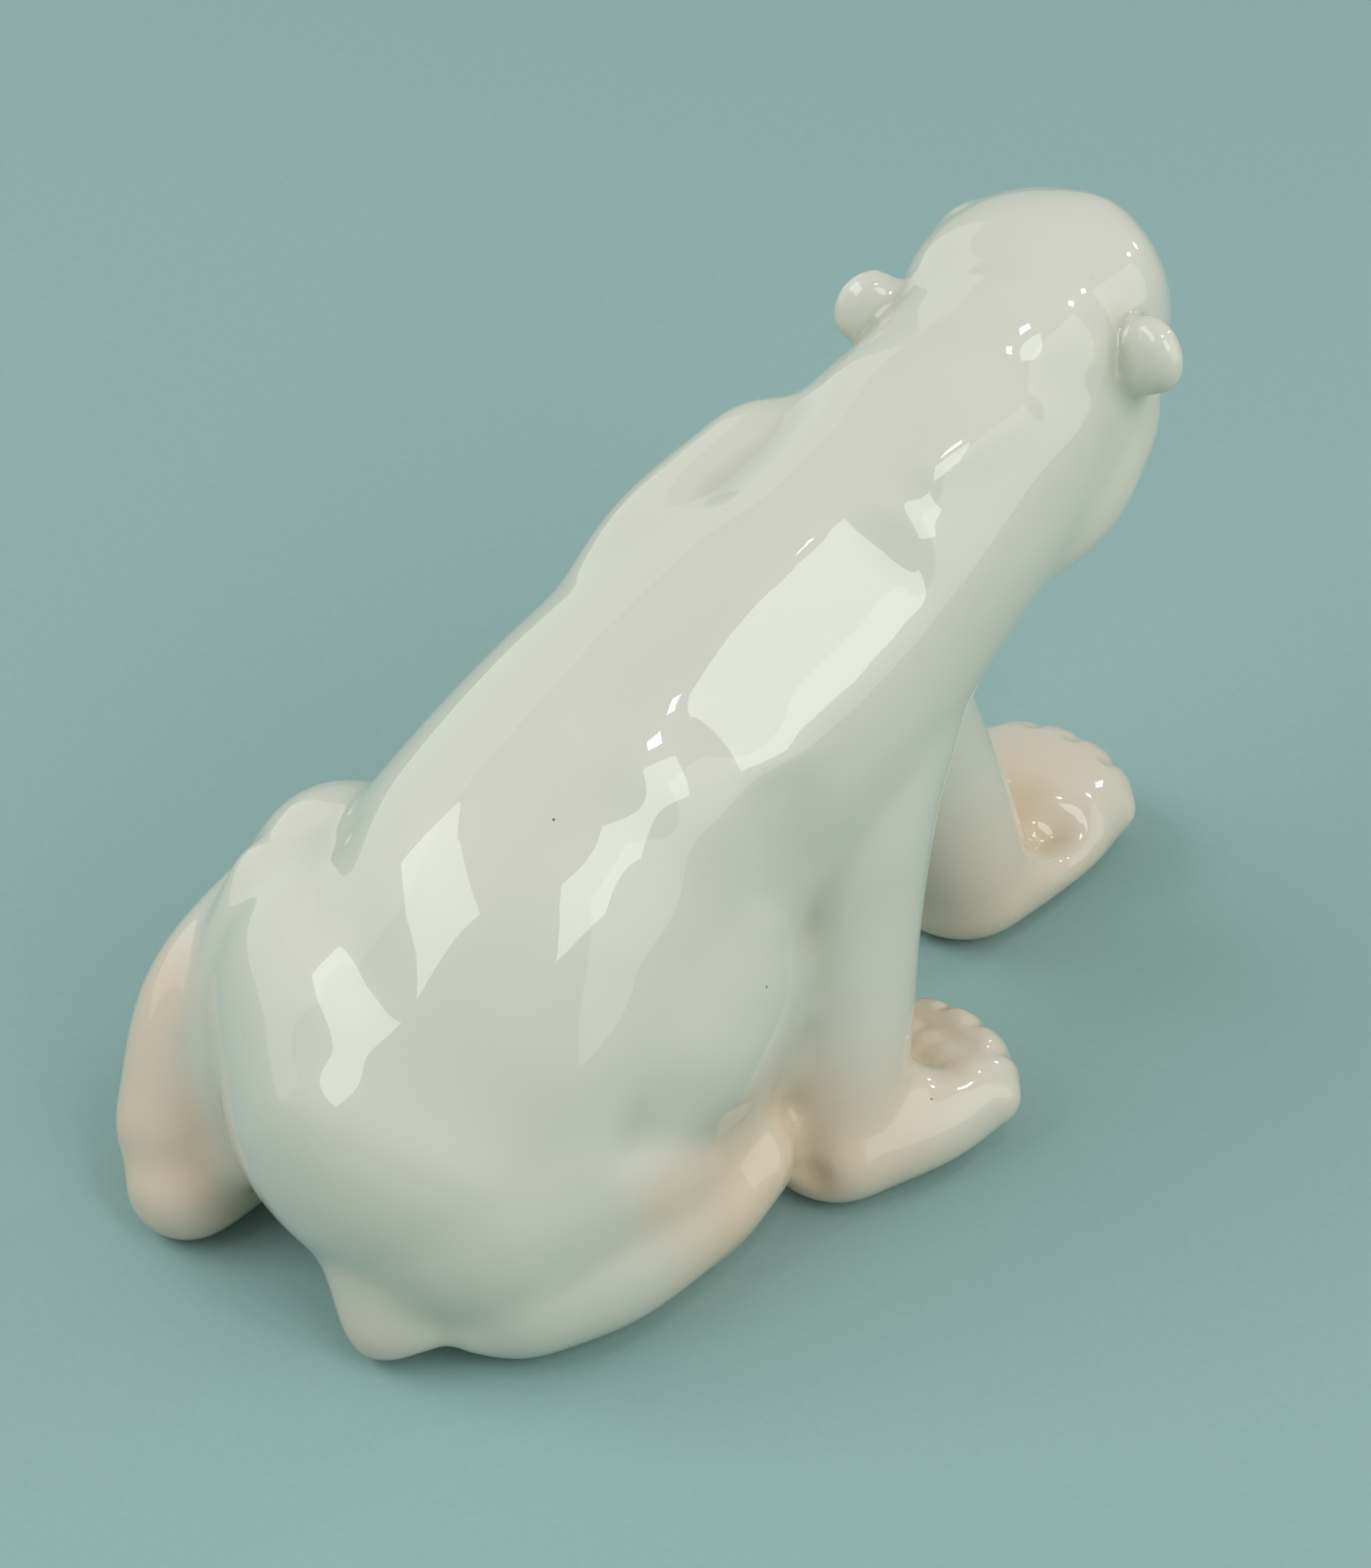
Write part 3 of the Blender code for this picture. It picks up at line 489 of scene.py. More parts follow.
def paw_axes(heading):
    """The way a paw points, and the way across it to its left."""
    turn = math.radians(heading)
    ahead = np.array([math.cos(turn), math.sin(turn), 0.0])
    return ahead, np.array([-ahead[1], ahead[0], 0.0])


def paw_stations(heel, heading, length, width, height, lift=0.0):
    """A paw that lies on its sole, widest behind the toes and lower at its front."""
    ahead, _ = paw_axes(heading)
    heel_centre = np.array([*heel, height * 0.45])
    ball = heel_centre + ahead * length * 0.52 + np.array(UP) * height * 0.05
    front = heel_centre + ahead * length + np.array(UP) * (height * 0.05 + lift)
    return [
        (*heel_centre, width * 0.39, height * 0.45),
        (*ball, width * 0.5, height * 0.5),
        (*front, width * 0.49, height * 0.48),
    ]


def toe_lofts(heel, heading, length, width, toe_width, height):
    """Toes side by side across the front of a paw, the outer ones set back."""
    ahead, across = paw_axes(heading)
    spread = (width - toe_width) / 2
    lofts = []
    for toe in range(TOE_COUNT):
        share = 2 * toe / max(TOE_COUNT - 1, 1) - 1
        root = np.array([*heel, height + toe_width * 0.3])
        root += ahead * length * 0.85 + across * spread * 0.75 * share
        reach = length * 0.85 + toe_width * (0.86 - 0.45 * share ** 2)
        tip = np.array([*heel, height]) + ahead * reach + across * spread * share
        lofts.append(loft([(*root, toe_width / 2, toe_width * 0.55), (*tip, toe_width / 2, toe_width / 2)]))
    return lofts


# A paw's heel, the way it points in degrees to the left, its length and its width
RIGHT_FORE_PAW = (drawn((41.3, -26.7, 0.0))[:2], -5.0, RIGHT_FORE_PAW_LENGTH, FORE_PAW_WIDTH)
LEFT_FORE_PAW = (drawn((75.7, -0.8, 0.0))[:2], 9.0, LEFT_FORE_PAW_LENGTH, FORE_PAW_WIDTH * 1.1)
RIGHT_HIND_PAW = (drawn((21.0, -18.9, 0.0))[:2], -9.0, RIGHT_HIND_PAW_LENGTH, HIND_PAW_WIDTH * 0.86)
LEFT_HIND_PAW = (drawn((4.2, 39.4, 0.0))[:2], 8.0, LEFT_HIND_PAW_LENGTH, HIND_PAW_WIDTH)


def haunch_stations():
    """The two haunches, from the seat forward to the knees: the right one, then the left one."""
    right = [
        station((10.8, -8.9, 20.2), HAUNCH_WIDTH * 0.92, HAUNCH_DEPTH * 0.84),
        station((21.6, -13.3, 25.2), HAUNCH_WIDTH, HAUNCH_DEPTH),
        station((29.3, -14.4, 34.5), HAUNCH_WIDTH * 0.84, HAUNCH_DEPTH * 0.88),
    ]
    left = [
        station((9.6, 14.4, 25.2), HAUNCH_WIDTH * 0.92, HAUNCH_DEPTH * 0.92),
        station((15.0, 24.4, 30.3), HAUNCH_WIDTH * 0.97, HAUNCH_DEPTH * 0.96),
        station((20.4, 33.3, 35.3), HAUNCH_WIDTH * 0.76, HAUNCH_DEPTH * 0.68),
    ]
    return right, left


def hind_leg_lofts():
    """Haunches, knees and shins. The right leg is folded under the body."""
    lofts = [loft(rows) for rows in haunch_stations()]
    lofts += [
        loft([
            station((32.0, -16.1, 42.9), KNEE_WIDTH, KNEE_DEPTH),
            station((30.2, -15.6, 28.6), KNEE_WIDTH * 0.92, KNEE_DEPTH * 0.85),
        ], FORWARD),
        loft([
            station((34.4, -18.3, 37.0), KNEE_WIDTH * 0.67, KNEE_DEPTH * 0.62),
            station((36.2, -18.9, 20.2), KNEE_WIDTH * 0.62, KNEE_DEPTH * 0.54),
        ], FORWARD),
        loft([
            station((12.0, -12.2, 10.1), FOLDED_LEG_WIDTH * 1.1, FOLDED_LEG_DEPTH * 0.85),
            station((18.6, -17.2, 11.3), FOLDED_LEG_WIDTH * 1.1, FOLDED_LEG_DEPTH * 0.9),
            station((27.5, -21.1, 10.5), FOLDED_LEG_WIDTH * 0.85, FOLDED_LEG_DEPTH * 0.64),
            station((32.3, -22.8, 10.9), FOLDED_LEG_WIDTH * 0.63, FOLDED_LEG_DEPTH * 0.5),
        ]),
        loft([
            station((21.0, 37.8, 35.3), SHIN_WIDTH, SHIN_DEPTH),
            station((13.2, 44.4, 24.4), SHIN_WIDTH, SHIN_DEPTH),
            station((6.6, 43.3, 11.8), SHIN_WIDTH * 0.9, SHIN_DEPTH * 0.74),
        ], FORWARD),
    ]
    for paw, lift in ((RIGHT_HIND_PAW, HIND_TOE_LIFT), (LEFT_HIND_PAW, 0.0)):
        lofts.append(loft(paw_stations(*paw, HIND_PAW_HEIGHT, lift), caps=(1.0, 0.8)))
    return lofts


def foreleg_lofts():
    """The upright right foreleg and the left one, which reaches forward."""
    lofts = [
        loft([
            station((51.5, -15.0, 63.9), SHOULDER_WIDTH, SHOULDER_DEPTH),
            station((47.0, -19.4, 48.7), UPPER_ARM_WIDTH, UPPER_ARM_DEPTH),
            station((45.2, -22.2, 33.6), FOREARM_WIDTH, FOREARM_DEPTH),
            station((43.4, -25.0, 18.5), WRIST_WIDTH * 0.95, WRIST_DEPTH),
            station((42.5, -26.1, 7.6), WRIST_WIDTH, WRIST_DEPTH * 0.95),
        ], FORWARD),
        loft([
            station((59.9, -2.2, 65.5), SHOULDER_WIDTH * 1.08, SHOULDER_DEPTH),
            station((64.1, 2.2, 50.4), UPPER_ARM_WIDTH * 0.96, UPPER_ARM_DEPTH * 0.93),
            station((68.3, 2.2, 35.3), FOREARM_WIDTH * 1.05, FOREARM_DEPTH * 1.04),
            station((72.8, -0.6, 20.2), WRIST_WIDTH, WRIST_DEPTH * 1.05),
            station((75.4, -1.7, 10.1), WRIST_WIDTH * 1.05, WRIST_DEPTH * 0.95),
        ], FORWARD),
    ]
    for paw in (RIGHT_FORE_PAW, LEFT_FORE_PAW):
        lofts.append(loft(paw_stations(*paw, FORE_PAW_HEIGHT), caps=(1.0, 0.8)))
    return lofts


def head_lofts():
    """Skull, throat and cheeks."""
    head_up = head_axes()[2]
    lofts = [
        loft(skull_stations(), head_up, (1.0, 0.6)),
        loft([
            station((64.1, -20.0, 67.2), THROAT_WIDTH * 0.86, THROAT_WIDTH * 0.76),
            station((70.1, -22.8, 71.8), THROAT_WIDTH, THROAT_WIDTH * 0.86),
            station((76.0, -21.7, 77.7), THROAT_WIDTH * 0.95, THROAT_WIDTH * 0.86),
        ]),
    ]
    for side in (1, -1):
        back = head_station((-0.058, side * 0.282, -0.184), CHEEK_WIDTH, CHEEK_WIDTH)
        front = head_station((0.348, side * 0.226, -0.184), CHEEK_WIDTH * 0.82, CHEEK_WIDTH * 0.88)
        lofts.append(loft([back, front], head_up))
    return lofts


def trunk_lofts():
    """Barrel, left shoulder blade, both shoulders and the swelling that the tail grows from."""
    return [
        loft(trunk_stations(), caps=(0.8, 1.0)),
        loft([
            station((37.1, 7.8, 58.0), BLADE_WIDTH, BLADE_WIDTH * 1.08),
            station((45.5, 8.3, 67.6), BLADE_WIDTH, BLADE_WIDTH * 1.04),
            station((53.3, 4.4, 76.1), BLADE_WIDTH * 0.85, BLADE_WIDTH * 0.85),
        ]),
        loft([
            station((50.3, 6.7, 69.7), SHOULDER_WIDTH * 0.85, SHOULDER_DEPTH * 0.83),
            station((57.5, 5.6, 62.2), SHOULDER_WIDTH, SHOULDER_DEPTH * 1.03),
            station((62.9, 3.3, 52.1), SHOULDER_WIDTH * 0.96, SHOULDER_DEPTH * 0.97),
        ], FORWARD),
        loft([
            station((51.5, -14.4, 70.6), SHOULDER_WIDTH * 0.85, SHOULDER_DEPTH * 0.76),
            station((50.9, -18.3, 58.8), SHOULDER_WIDTH * 0.96, SHOULDER_DEPTH * 0.9),
            station((47.3, -20.0, 48.7), SHOULDER_WIDTH * 0.92, SHOULDER_DEPTH * 0.9),
        ], FORWARD),
        loft([
            station((7.8, 1.1, 16.0), TAIL_ROOT_WIDTH, TAIL_ROOT_DEPTH),
            station((4.2, -1.7, 10.9), TAIL_ROOT_WIDTH * 0.67, TAIL_ROOT_DEPTH * 0.74),
            station((2.7, -3.3, 6.7), TAIL_ROOT_WIDTH * 0.5, TAIL_ROOT_DEPTH * 0.52),
        ], FORWARD),
    ]


# The details


def ear_ends(side):
    """Root and tip of an ear. The right ear lies closer to the head and further back."""
    if side > 0:
        return head_place(-0.203, 0.424, -0.031), head_place(-0.261, 0.579, 0.046)
    return head_place(-0.232, -0.395, -0.031), head_place(-0.319, -0.523, 0.031)


def tail_ends():
    """Root and tip of the tail, which points down and back."""
    root = np.array(drawn(TAIL_ROOT))
    return root, root + unit((-5.0, -2.0, -7.5)) * TAIL_REACH


def eye_place(side):
    """The middle of an eyeball."""
    return head_place(0.594, side * 0.254, 0.184)


def face_lofts():
    """Brows, eyes, nose pad and lips."""
    along, _, head_up = head_axes()
    lofts = []
    for side in (1, -1):
        brow = [
            head_station((0.087, side * 0.212, 0.301), BROW_WIDTH, BROW_WIDTH * 0.81),
            head_station((0.348, side * 0.212, 0.239), BROW_WIDTH * 0.84, BROW_WIDTH * 0.7),
            head_station((0.565, side * 0.212, 0.141), BROW_WIDTH * 0.46, BROW_WIDTH * 0.38),
        ]
        lofts.append(loft(brow, head_up))
        eye = np.array(eye_place(side))
        radius = EYE_DIAMETER / 2
        back = eye - along * radius * 0.5
        lofts.append(loft([(*back, radius, radius), (*eye, radius, radius)], head_up))
    nose = [
        head_station((1.029, 0.000, -0.018), NOSE_WIDTH, NOSE_DEPTH),
        head_station((1.116, 0.000, -0.058), NOSE_WIDTH, NOSE_DEPTH),
    ]
    lofts.append(loft(nose, head_up, (1.0, 0.6)))
    lips = [
        head_station((0.826, 0.000, -0.325), LIP_WIDTH, LIP_WIDTH * 0.72),
        head_station((1.046, 0.000, -0.288), LIP_WIDTH * 0.92, LIP_WIDTH * 0.69),
    ]
    lofts.append(loft(lips, head_up, (1.0, 0.8)))
    return lofts


def ear_lofts():
    """Round ears, thick at the root and flat at the tip."""
    along = head_axes()[0]
    lofts = []
    for side in (1, -1):
        root, tip = ear_ends(side)
        half = EAR_WIDTH / 2
        lofts.append(loft([(*root, half, EAR_THICKNESS * 0.6), (*tip, half, EAR_THICKNESS / 2)], along))
    return lofts


def tail_lofts():
    """The tail's tip."""
    root, tip = tail_ends()
    rows = [(*root, TAIL_WIDTH * 0.85, TAIL_WIDTH * 0.75), (*tip, TAIL_WIDTH / 2, TAIL_WIDTH * 0.47)]
    return [loft(rows, FORWARD)]


def all_toe_lofts():
    """Toes of the four paws."""
    lofts = []
    for paw in (RIGHT_FORE_PAW, LEFT_FORE_PAW):
        lofts += toe_lofts(*paw, FORE_TOE_WIDTH, FORE_PAW_HEIGHT * 0.5)
    for paw, lift in ((RIGHT_HIND_PAW, HIND_TOE_LIFT), (LEFT_HIND_PAW, 0.0)):
        lofts += toe_lofts(*paw, HIND_TOE_WIDTH, HIND_PAW_HEIGHT * 0.45 + lift)
    return lofts


# Carving


def fine_marks():
    """What a modelling tool adds on the soft form: the line below the nose, a bead of clay
    beside the tail, ear hollows, eyelids, nostrils and mouth. Each ends in radius and depth."""
    along, aside, _ = head_axes()
    marks = [
        (head_place(1.174, 0.0, -0.138), head_place(1.174, 0.0, -0.233), 0.8, 0.7),
        (drawn((2.7, -11.7, 6.3)), drawn((4.2, -15.6, 6.3)), 3.6, -1.0),
    ]
    for side in (1, -1):
        tip = np.array(ear_ends(side)[1]) + along * EAR_THICKNESS / 2
        marks += [
            (tip - aside * 0.5, tip + aside * 0.5, EAR_WIDTH * 0.24, EAR_CUP_DEPTH * 1.5),
            (head_place(0.623, side * 0.147, 0.264), head_place(0.507, side * 0.311, 0.233), 0.9, 0.5),
            (head_place(0.681, side * 0.158, 0.129), head_place(0.565, side * 0.311, 0.110), 0.9, 0.5),
            (head_place(1.188, side * 0.062, -0.067), head_place(1.145, side * 0.119, -0.049), 0.9, 1.0),
            (head_place(1.145, side * 0.028, -0.227), head_place(0.826, side * 0.243, -0.288), 0.9, 0.8),
        ]
    return marks


def toe_marks(heel, heading, length, width, height):
    """Grooves between the toes: arcs from above down over the front of a paw, where reach =
    height times 0.47 times the root of one minus the square of the share across the paw."""
    ahead, across = paw_axes(heading)
    marks = []
    for gap in range(1, TOE_COUNT):
        share = 2 * gap / TOE_COUNT - 1
        middle = np.array([*heel, height / 2]) + ahead * length + across * width / 2 * share
        reach = height * 0.47 * math.sqrt(1 - share ** 2)
        arc = [middle + reach * (ahead * math.cos(turn) + np.array(UP) * math.sin(turn))
               for turn in GROOVE_TURNS]
        marks += [(*ends, GROOVE_RADIUS, GROOVE_DEPTH) for ends in (arc[:2], arc[2:])]
    return marks


def all_toe_marks():
    """The grooves of the paws that stand free."""
    marks = toe_marks(*LEFT_HIND_PAW, HIND_PAW_HEIGHT)
    for paw in (RIGHT_FORE_PAW, LEFT_FORE_PAW):
        marks += toe_marks(*paw, FORE_PAW_HEIGHT)
    return marks


# Softening that the skin alone has


def broad_marks():
    """Broad, shallow swellings and hollows that the windows mirror in, by radius and depth. A
    negative depth raises the clay."""
    rows = [
        ((13.8, 2.2, 55.5), (18.6, -15.6, 55.5), 3.2, -0.36),
        ((26.3, -13.3, 65.5), (27.5, -22.2, 61.3), 1.6, -0.34),
        ((34.1, -24.4, 67.2), (34.7, -25.6, 63.0), 1.0, -0.48),
        ((0.6, 4.4, 36.1), (3.6, 10.0, 41.2), 1.8, -0.38),
        ((57.5, -6.7, 89.9), (58.7, -21.1, 89.1), 2.0, -0.36),
        ((80.8, -16.7, 98.3), (79.6, -25.6, 95.8), 1.3, -0.36),
        ((72.5, -10.0, 100.0), (74.3, -14.4, 100.8), 1.3, 0.2),
        ((15.0, -27.8, 34.5), (20.4, -30.0, 29.4), 1.5, -0.25),
        ((26.3, -31.1, 26.9), (28.1, -32.2, 23.5), 0.9, -0.3),
        ((34.1, -25.6, 63.9), (35.3, -30.0, 52.1), 0.9, -0.22),
        ((53.9, -24.4, 85.7), (61.7, -28.9, 88.7), 0.6, -0.2),
    ]
    return by_thumb(rows)


def flat_tool(mesh):
    """The flat tool's mark on the right shoulder. What stands out beyond a plane sinks towards
    it by a share: height = (point - place) . facing + depth, where it's above nought, and
    fades to none from two thirds of the reach outwards. Skin that faces away stays."""
    points, normals = read(mesh)
    a, e = math.radians(FLAT_AZIMUTH), math.radians(FLAT_ELEVATION)
    facing = np.array([math.cos(a) * math.cos(e), math.sin(a) * math.cos(e), math.sin(e)])
    away = points - drawn(FLAT_PLACE)
    height = np.maximum(away @ facing + FLAT_DEPTH, 0) * (normals @ facing > 0.3)
    fade = np.clip(3 - 3 * np.linalg.norm(away, axis=1) / FLAT_REACH, 0, 1)
    write(mesh, points - facing * (FLAT_SHARE * height * fade ** 2 * (3 - 2 * fade))[:, None])


def valley_lofts():
    """Clay that softens the deep valley between the left shin and the haunch."""
    return [loft([
        station((13.8, 36.1, 41.6), VALLEY_WIDTH * 0.86, VALLEY_WIDTH * 0.86),
        station((10.7, 35.9, 32.9), VALLEY_WIDTH, VALLEY_WIDTH),
        station((8.0, 33.7, 22.9), VALLEY_WIDTH, VALLEY_WIDTH),
        station((6.8, 31.4, 12.8), VALLEY_WIDTH * 0.86, VALLEY_WIDTH * 0.86),
    ], FORWARD)]


def neighbours(mesh):
    """The two ends of every edge, each edge both ways round."""
    first, second = values(mesh.edges, "vertices", 2, np.int32).astype(np.int64).T
    return np.concatenate([first, second]), np.concatenate([second, first])


def relaxed(points, ends, others, passes):
    """Each point becomes the mean of its neighbours, pass after pass."""
    count = np.bincount(ends, minlength=len(points))
    for _ in range(passes):
        sums = [np.bincount(ends, column, len(points)) for column in points[others].T]
        points = np.stack(sums, 1) / count[:, None]
    return points


def sponge(mesh, strokes):
    """A damp sponge. Each point moves towards the mean of its surroundings, by the bell round
    the stroke's line. A stroke is start, end, radius."""
    points, _ = read(mesh)
    soft = relaxed(points, *neighbours(mesh), SPONGE_PASSES)
    share = sum(stroke(points, start, end, radius) for start, end, radius in strokes)
    write(mesh, points + (soft - points) * np.minimum(share, 1)[:, None])


def sponge_strokes():
    """Where the folded leg, the knee and the crease beside the foreleg are wiped smooth, and
    how widely."""
    rows = [
        ((14.4, -27.8, 36.1), (28.7, -30.0, 27.7), 1.9),
        ((18.0, -25.6, 45.4), (26.3, -27.8, 43.7), 1.3),
        ((35.9, -27.8, 45.4), (37.1, -27.8, 28.6), 1.0),
        ((34.1, -25.6, 58.8), (34.7, -26.7, 50.4), 1.0),
    ]
    return by_thumb(rows)


def tail_strokes():
    """Where the root of the tail is wiped into the rump."""
    return by_thumb([((2.4, -11.1, 6.7), (1.8, -4.4, 13.4), 1.4)])


def skin():
    """The whole bear as one fine skin: the big masses, then the details, then the carving."""
    masses = trunk_lofts() + hind_leg_lofts() + valley_lofts() + foreleg_lofts() + head_lofts()
    masses = [loft_object("mass", rings) for rings in masses]
    soft = blend("masses", masses, BODY_VOXEL, BODY_PASSES)
    press(soft.data, body_marks() + broad_marks())
    sponge(soft.data, sponge_strokes())
    flat_tool(soft.data)
    details = face_lofts() + ear_lofts() + tail_lofts() + all_toe_lofts()
    details = [loft_object("detail", rings) for rings in details]
    whole = blend("skin", [soft] + details, SKIN_VOXEL, SKIN_PASSES)
    sponge(whole.data, tail_strokes())
    press(whole.data, fine_marks() + all_toe_marks())
    whole.data.shade_smooth()
    return whole


# Paint


def hollowness(points, normals, mesh):
    """How far the skin lies below the mean of what surrounds it, in millimetres: once for
    grooves a millimetre or two wide, and once for valleys some five millimetres wide."""
    ends, others = neighbours(mesh)
    near = relaxed(points, ends, others, GROOVE_PASSES)
    far = relaxed(near, ends, others, VALLEY_PASSES)
    return ((near - points) * normals).sum(1), ((far - points) * normals).sum(1)


def blush_strokes():
    """Where a pinkish cream is sprayed, by radius and strength."""
    rows = [
        ((45.5, -25.6, 6.7), (58.1, -28.9, 4.2), 2.4, 0.95),
        ((41.9, -24.4, 6.7), (43.1, -24.4, 13.4), 2.4, 0.6),
        ((77.8, 0.0, 6.7), (93.4, 3.3, 4.2), 2.6, 0.95),
        ((73.1, 0.0, 8.4), (71.9, 0.0, 18.5), 2.4, 0.6),
        ((18.0, -35.6, 20.2), (33.5, -33.3, 16.8), 1.4, 0.7),
        ((24.0, -30.0, 6.7), (35.9, -26.7, 6.7), 2.0, 0.9),
        ((38.3, -18.9, 42.0), (39.5, -20.0, 21.8), 1.0, 0.6),
        ((0.6, -3.3, 3.4), (3.6, -2.2, 8.4), 1.4, 0.45),
        ((12.0, 55.6, 25.2), (5.4, 51.1, 11.8), 1.4, 0.8),
        ((6.6, 46.7, 30.3), (3.0, 44.4, 10.1), 1.5, 0.6),
        ((3.6, 35.6, 16.8), (3.6, 34.4, 10.9), 1.1, 0.6),
        ((4.8, 40.0, 3.4), (26.3, 46.7, 5.0), 2.4, 0.8),
        ((2.4, 22.2, 10.1), (4.8, 13.3, 5.0), 1.6, 0.4),
    ]
    return [(*by_thumb([line])[0], strength) for *line, strength in rows]


def ink_strokes():
    """Where the face is painted under the glaze: nose, the line below it, mouth and eyes."""
    along, aside, _ = head_axes()
    strokes = [
        (head_place(1.087, -0.09, -0.025), head_place(1.087, 0.09, -0.025), 3.1, 3.0),
        (head_place(1.174, 0.0, -0.061), head_place(1.174, 0.0, -0.233), 0.8, 0.8),
    ]
    for side in (1, -1):
        front = np.array(eye_place(side)) + along * EYE_DIAMETER * 0.4
        strokes += [
            (head_place(1.145, side * 0.028, -0.227), head_place(0.855, side * 0.237, -0.282), 0.8, 0.6),
            (front, front + along * 0.4 + aside * side, 1.7, 3.0),
        ]
    return strokes


def painted(points, strokes):
    """Coats of colour over one another: one minus the product of what each stroke leaves bare."""
    bare = np.ones(len(points))
    for start, end, radius, strength in strokes:
        bare *= 1 - np.minimum(strength * stroke(points, start, end, radius), 1)
    return 1 - bare


def paint(whole):
    """The coats of the skin as one colour to a point: how far glaze pools there, with painted shade
    in the grooves and valleys, as red, the sprayed cream as green and the painted ink as blue."""
    points, normals = read(whole.data)
    groove, valley = hollowness(points, normals, whole.data)
    # Partly glaze that pools, partly painted shade: darker wherever the skin lies below its surroundings
    pooled_glaze_and_shade = np.clip(groove * GLAZE_AND_SHADE_IN_GROOVES + valley * GLAZE_AND_SHADE_IN_VALLEYS, 0, 1)
    coats = [pooled_glaze_and_shade, painted(points, blush_strokes()), painted(points, ink_strokes()), np.ones(len(points))]
    layer = whole.data.color_attributes.new("coats", "FLOAT_COLOR", "POINT")
    layer.data.foreach_set("color", np.stack(coats, 1).astype(np.float32).ravel())


# Parting the skin into castings

# These are sawn off with a tube, and the others with a box
ROUND_SEAMS = ("left_ear", "right_ear", "tail")


def seams():
    """Where each casting is sawn off: name, start, direction, half width, half depth, length.
    The shares of named sizes keep each saw clear of the castings beside it."""
    rows = []
    for name, side in (("left_ear", 1), ("right_ear", -1)):
        root, tip = np.array(ear_ends(side))
        start = root + unit(tip - root) * EAR_THICKNESS * 0.6
        rows.append((name, start, tip - root, EAR_WIDTH * 0.7, EAR_WIDTH * 0.7, EAR_WIDTH * 1.5))
    tail_root, tail_tip = tail_ends()
    tail_start = tail_root + (tail_tip - tail_root) * 0.42
    tail_half = TAIL_WIDTH * 0.85
    rows.append(("tail", tail_start, tail_tip - tail_root, tail_half, tail_half, TAIL_REACH * 2))
    neck = np.array(drawn(NECK))
    to_nape = np.array(drawn(NAPE)) - neck
    rows.append(("head_and_neck", neck, to_nape, NECK_WIDTH, NECK_DEPTH, MUZZLE_REACH * 2.4))
    fore_half = FORE_PAW_WIDTH / 2 + SAW_ROOM
    fore_reach = RIGHT_FORE_PAW_LENGTH + FORE_PAW_HEIGHT
    middle = RIGHT_FORE_PAW[0][1] - SAW_ROOM * 1.35
    fore_start = (HAUNCH_FRONT + fore_reach / 2, middle, RIGHT_LEG_SEAM_HEIGHT)
    fore_length = RIGHT_LEG_SEAM_HEIGHT * 1.5
    rows.append(("right_foreleg", fore_start, DOWN, fore_half, fore_reach / 2, fore_length))
    forward, left = LEFT_FORE_PAW[0]
    left_start = (forward + LEFT_FORE_PAW_LENGTH * 0.4, left + SAW_ROOM * 0.6, LEFT_LEG_SEAM_HEIGHT)
    left_half = LEFT_FORE_PAW_LENGTH + FORE_PAW_HEIGHT
    rows.append(("left_foreleg", left_start, DOWN, fore_half * 1.4, left_half, LEFT_LEG_SEAM_HEIGHT * 1.5))
    hind_half = HIND_PAW_WIDTH / 2 + SAW_ROOM
    low_half = HIND_PAW_SEAM_HEIGHT / 2 + SOLE_TRIM
    middle = RIGHT_HIND_PAW[0][1] - SAW_ROOM * 1.4
    low_start = (RIGHT_HIND_PAW_SEAM, middle, HIND_PAW_SEAM_HEIGHT - low_half)
    rows.append(("right_hind_paw", low_start, FORWARD, hind_half, low_half, HIND_PAW_WIDTH * 1.2))
    forward, left = LEFT_HIND_PAW[0]
    back_start = (forward + LEFT_HIND_PAW_LENGTH * 0.6, left + SAW_ROOM * 2, HIND_PAW_SEAM_HEIGHT)
    back_half = (hind_half + SOLE_TRIM, LEFT_HIND_PAW_LENGTH * 1.06)
    rows.append(("left_hind_paw", back_start, DOWN, *back_half, HIND_PAW_SEAM_HEIGHT * 1.6))
    return rows


def saw_blade(name, start, direction, half_width, half_depth, length, finishes, tube=False):
    """A box or a tube that starts at a seam and runs along a direction, round one casting. What
    it cuts shows the second finish."""
    along = unit(direction)
    upright = UP if abs(along[0]) > 0.95 else FORWARD
    across = unit(np.cross(upright, along))
    through = np.cross(along, across)
    sizes = np.array([half_width * 2, half_depth * 2, length])
    columns = metres(np.array([across, through, along]) * sizes[:, None]).T
    centre = metres(np.asarray(start) + along * length / 2)
    if tube:
        bpy.ops.mesh.primitive_cylinder_add(vertices=64, radius=0.5, depth=1.0)
    else:
        bpy.ops.mesh.primitive_cube_add(size=1.0)
    blade = bpy.context.object
    blade.name = name
    blade.data.transform(Matrix([[*row, place] for row, place in zip(columns, centre)] + [(0, 0, 0, 1)]))
    for finish in finishes:
        blade.data.materials.append(finish)
    blade.data.polygons.foreach_set("material_index", np.ones(len(blade.data.polygons), np.int32))
    return blade


def carve(body, tool, operation):
    """Take the tool's space from the body, or leave only what the two have in common."""
    modifier = body.modifiers.new("Saw", "BOOLEAN")
    modifier.operation = operation
    modifier.solver = "MANIFOLD"
    modifier.object = tool
    return settle(body)


def parted(whole, finishes):
    """The skin's castings by name. The saws take no room, so the glaze meets over each seam."""
    start = (LENGTH / 2, 0.0, SOLE_TRIM)
    ground = saw_blade("ground", start, DOWN, LENGTH, LENGTH, HEIGHT, finishes)
    hole_start = np.array(drawn(VENT)) - np.array(UP) * VENT_DEPTH / 2
    vent_half = VENT_DIAMETER / 2
    hole = saw_blade("vent", hole_start, UP, vent_half, vent_half, VENT_DEPTH, finishes, True)
    trunk = shown("glazed_trunk_and_haunches", whole.data)
    for tool in (ground, hole):
        carve(trunk, tool, "DIFFERENCE")
        bpy.data.objects.remove(tool)
    castings = {}
    for name, *spec in seams():
        blade = saw_blade(name + "_saw", *spec, finishes, name in ROUND_SEAMS)
        castings[name] = carve(shown("glazed_" + name, trunk.data), blade, "INTERSECT")
        carve(trunk, blade, "DIFFERENCE")
        bpy.data.objects.remove(blade)
    castings["trunk_and_haunches"] = trunk
    return castings


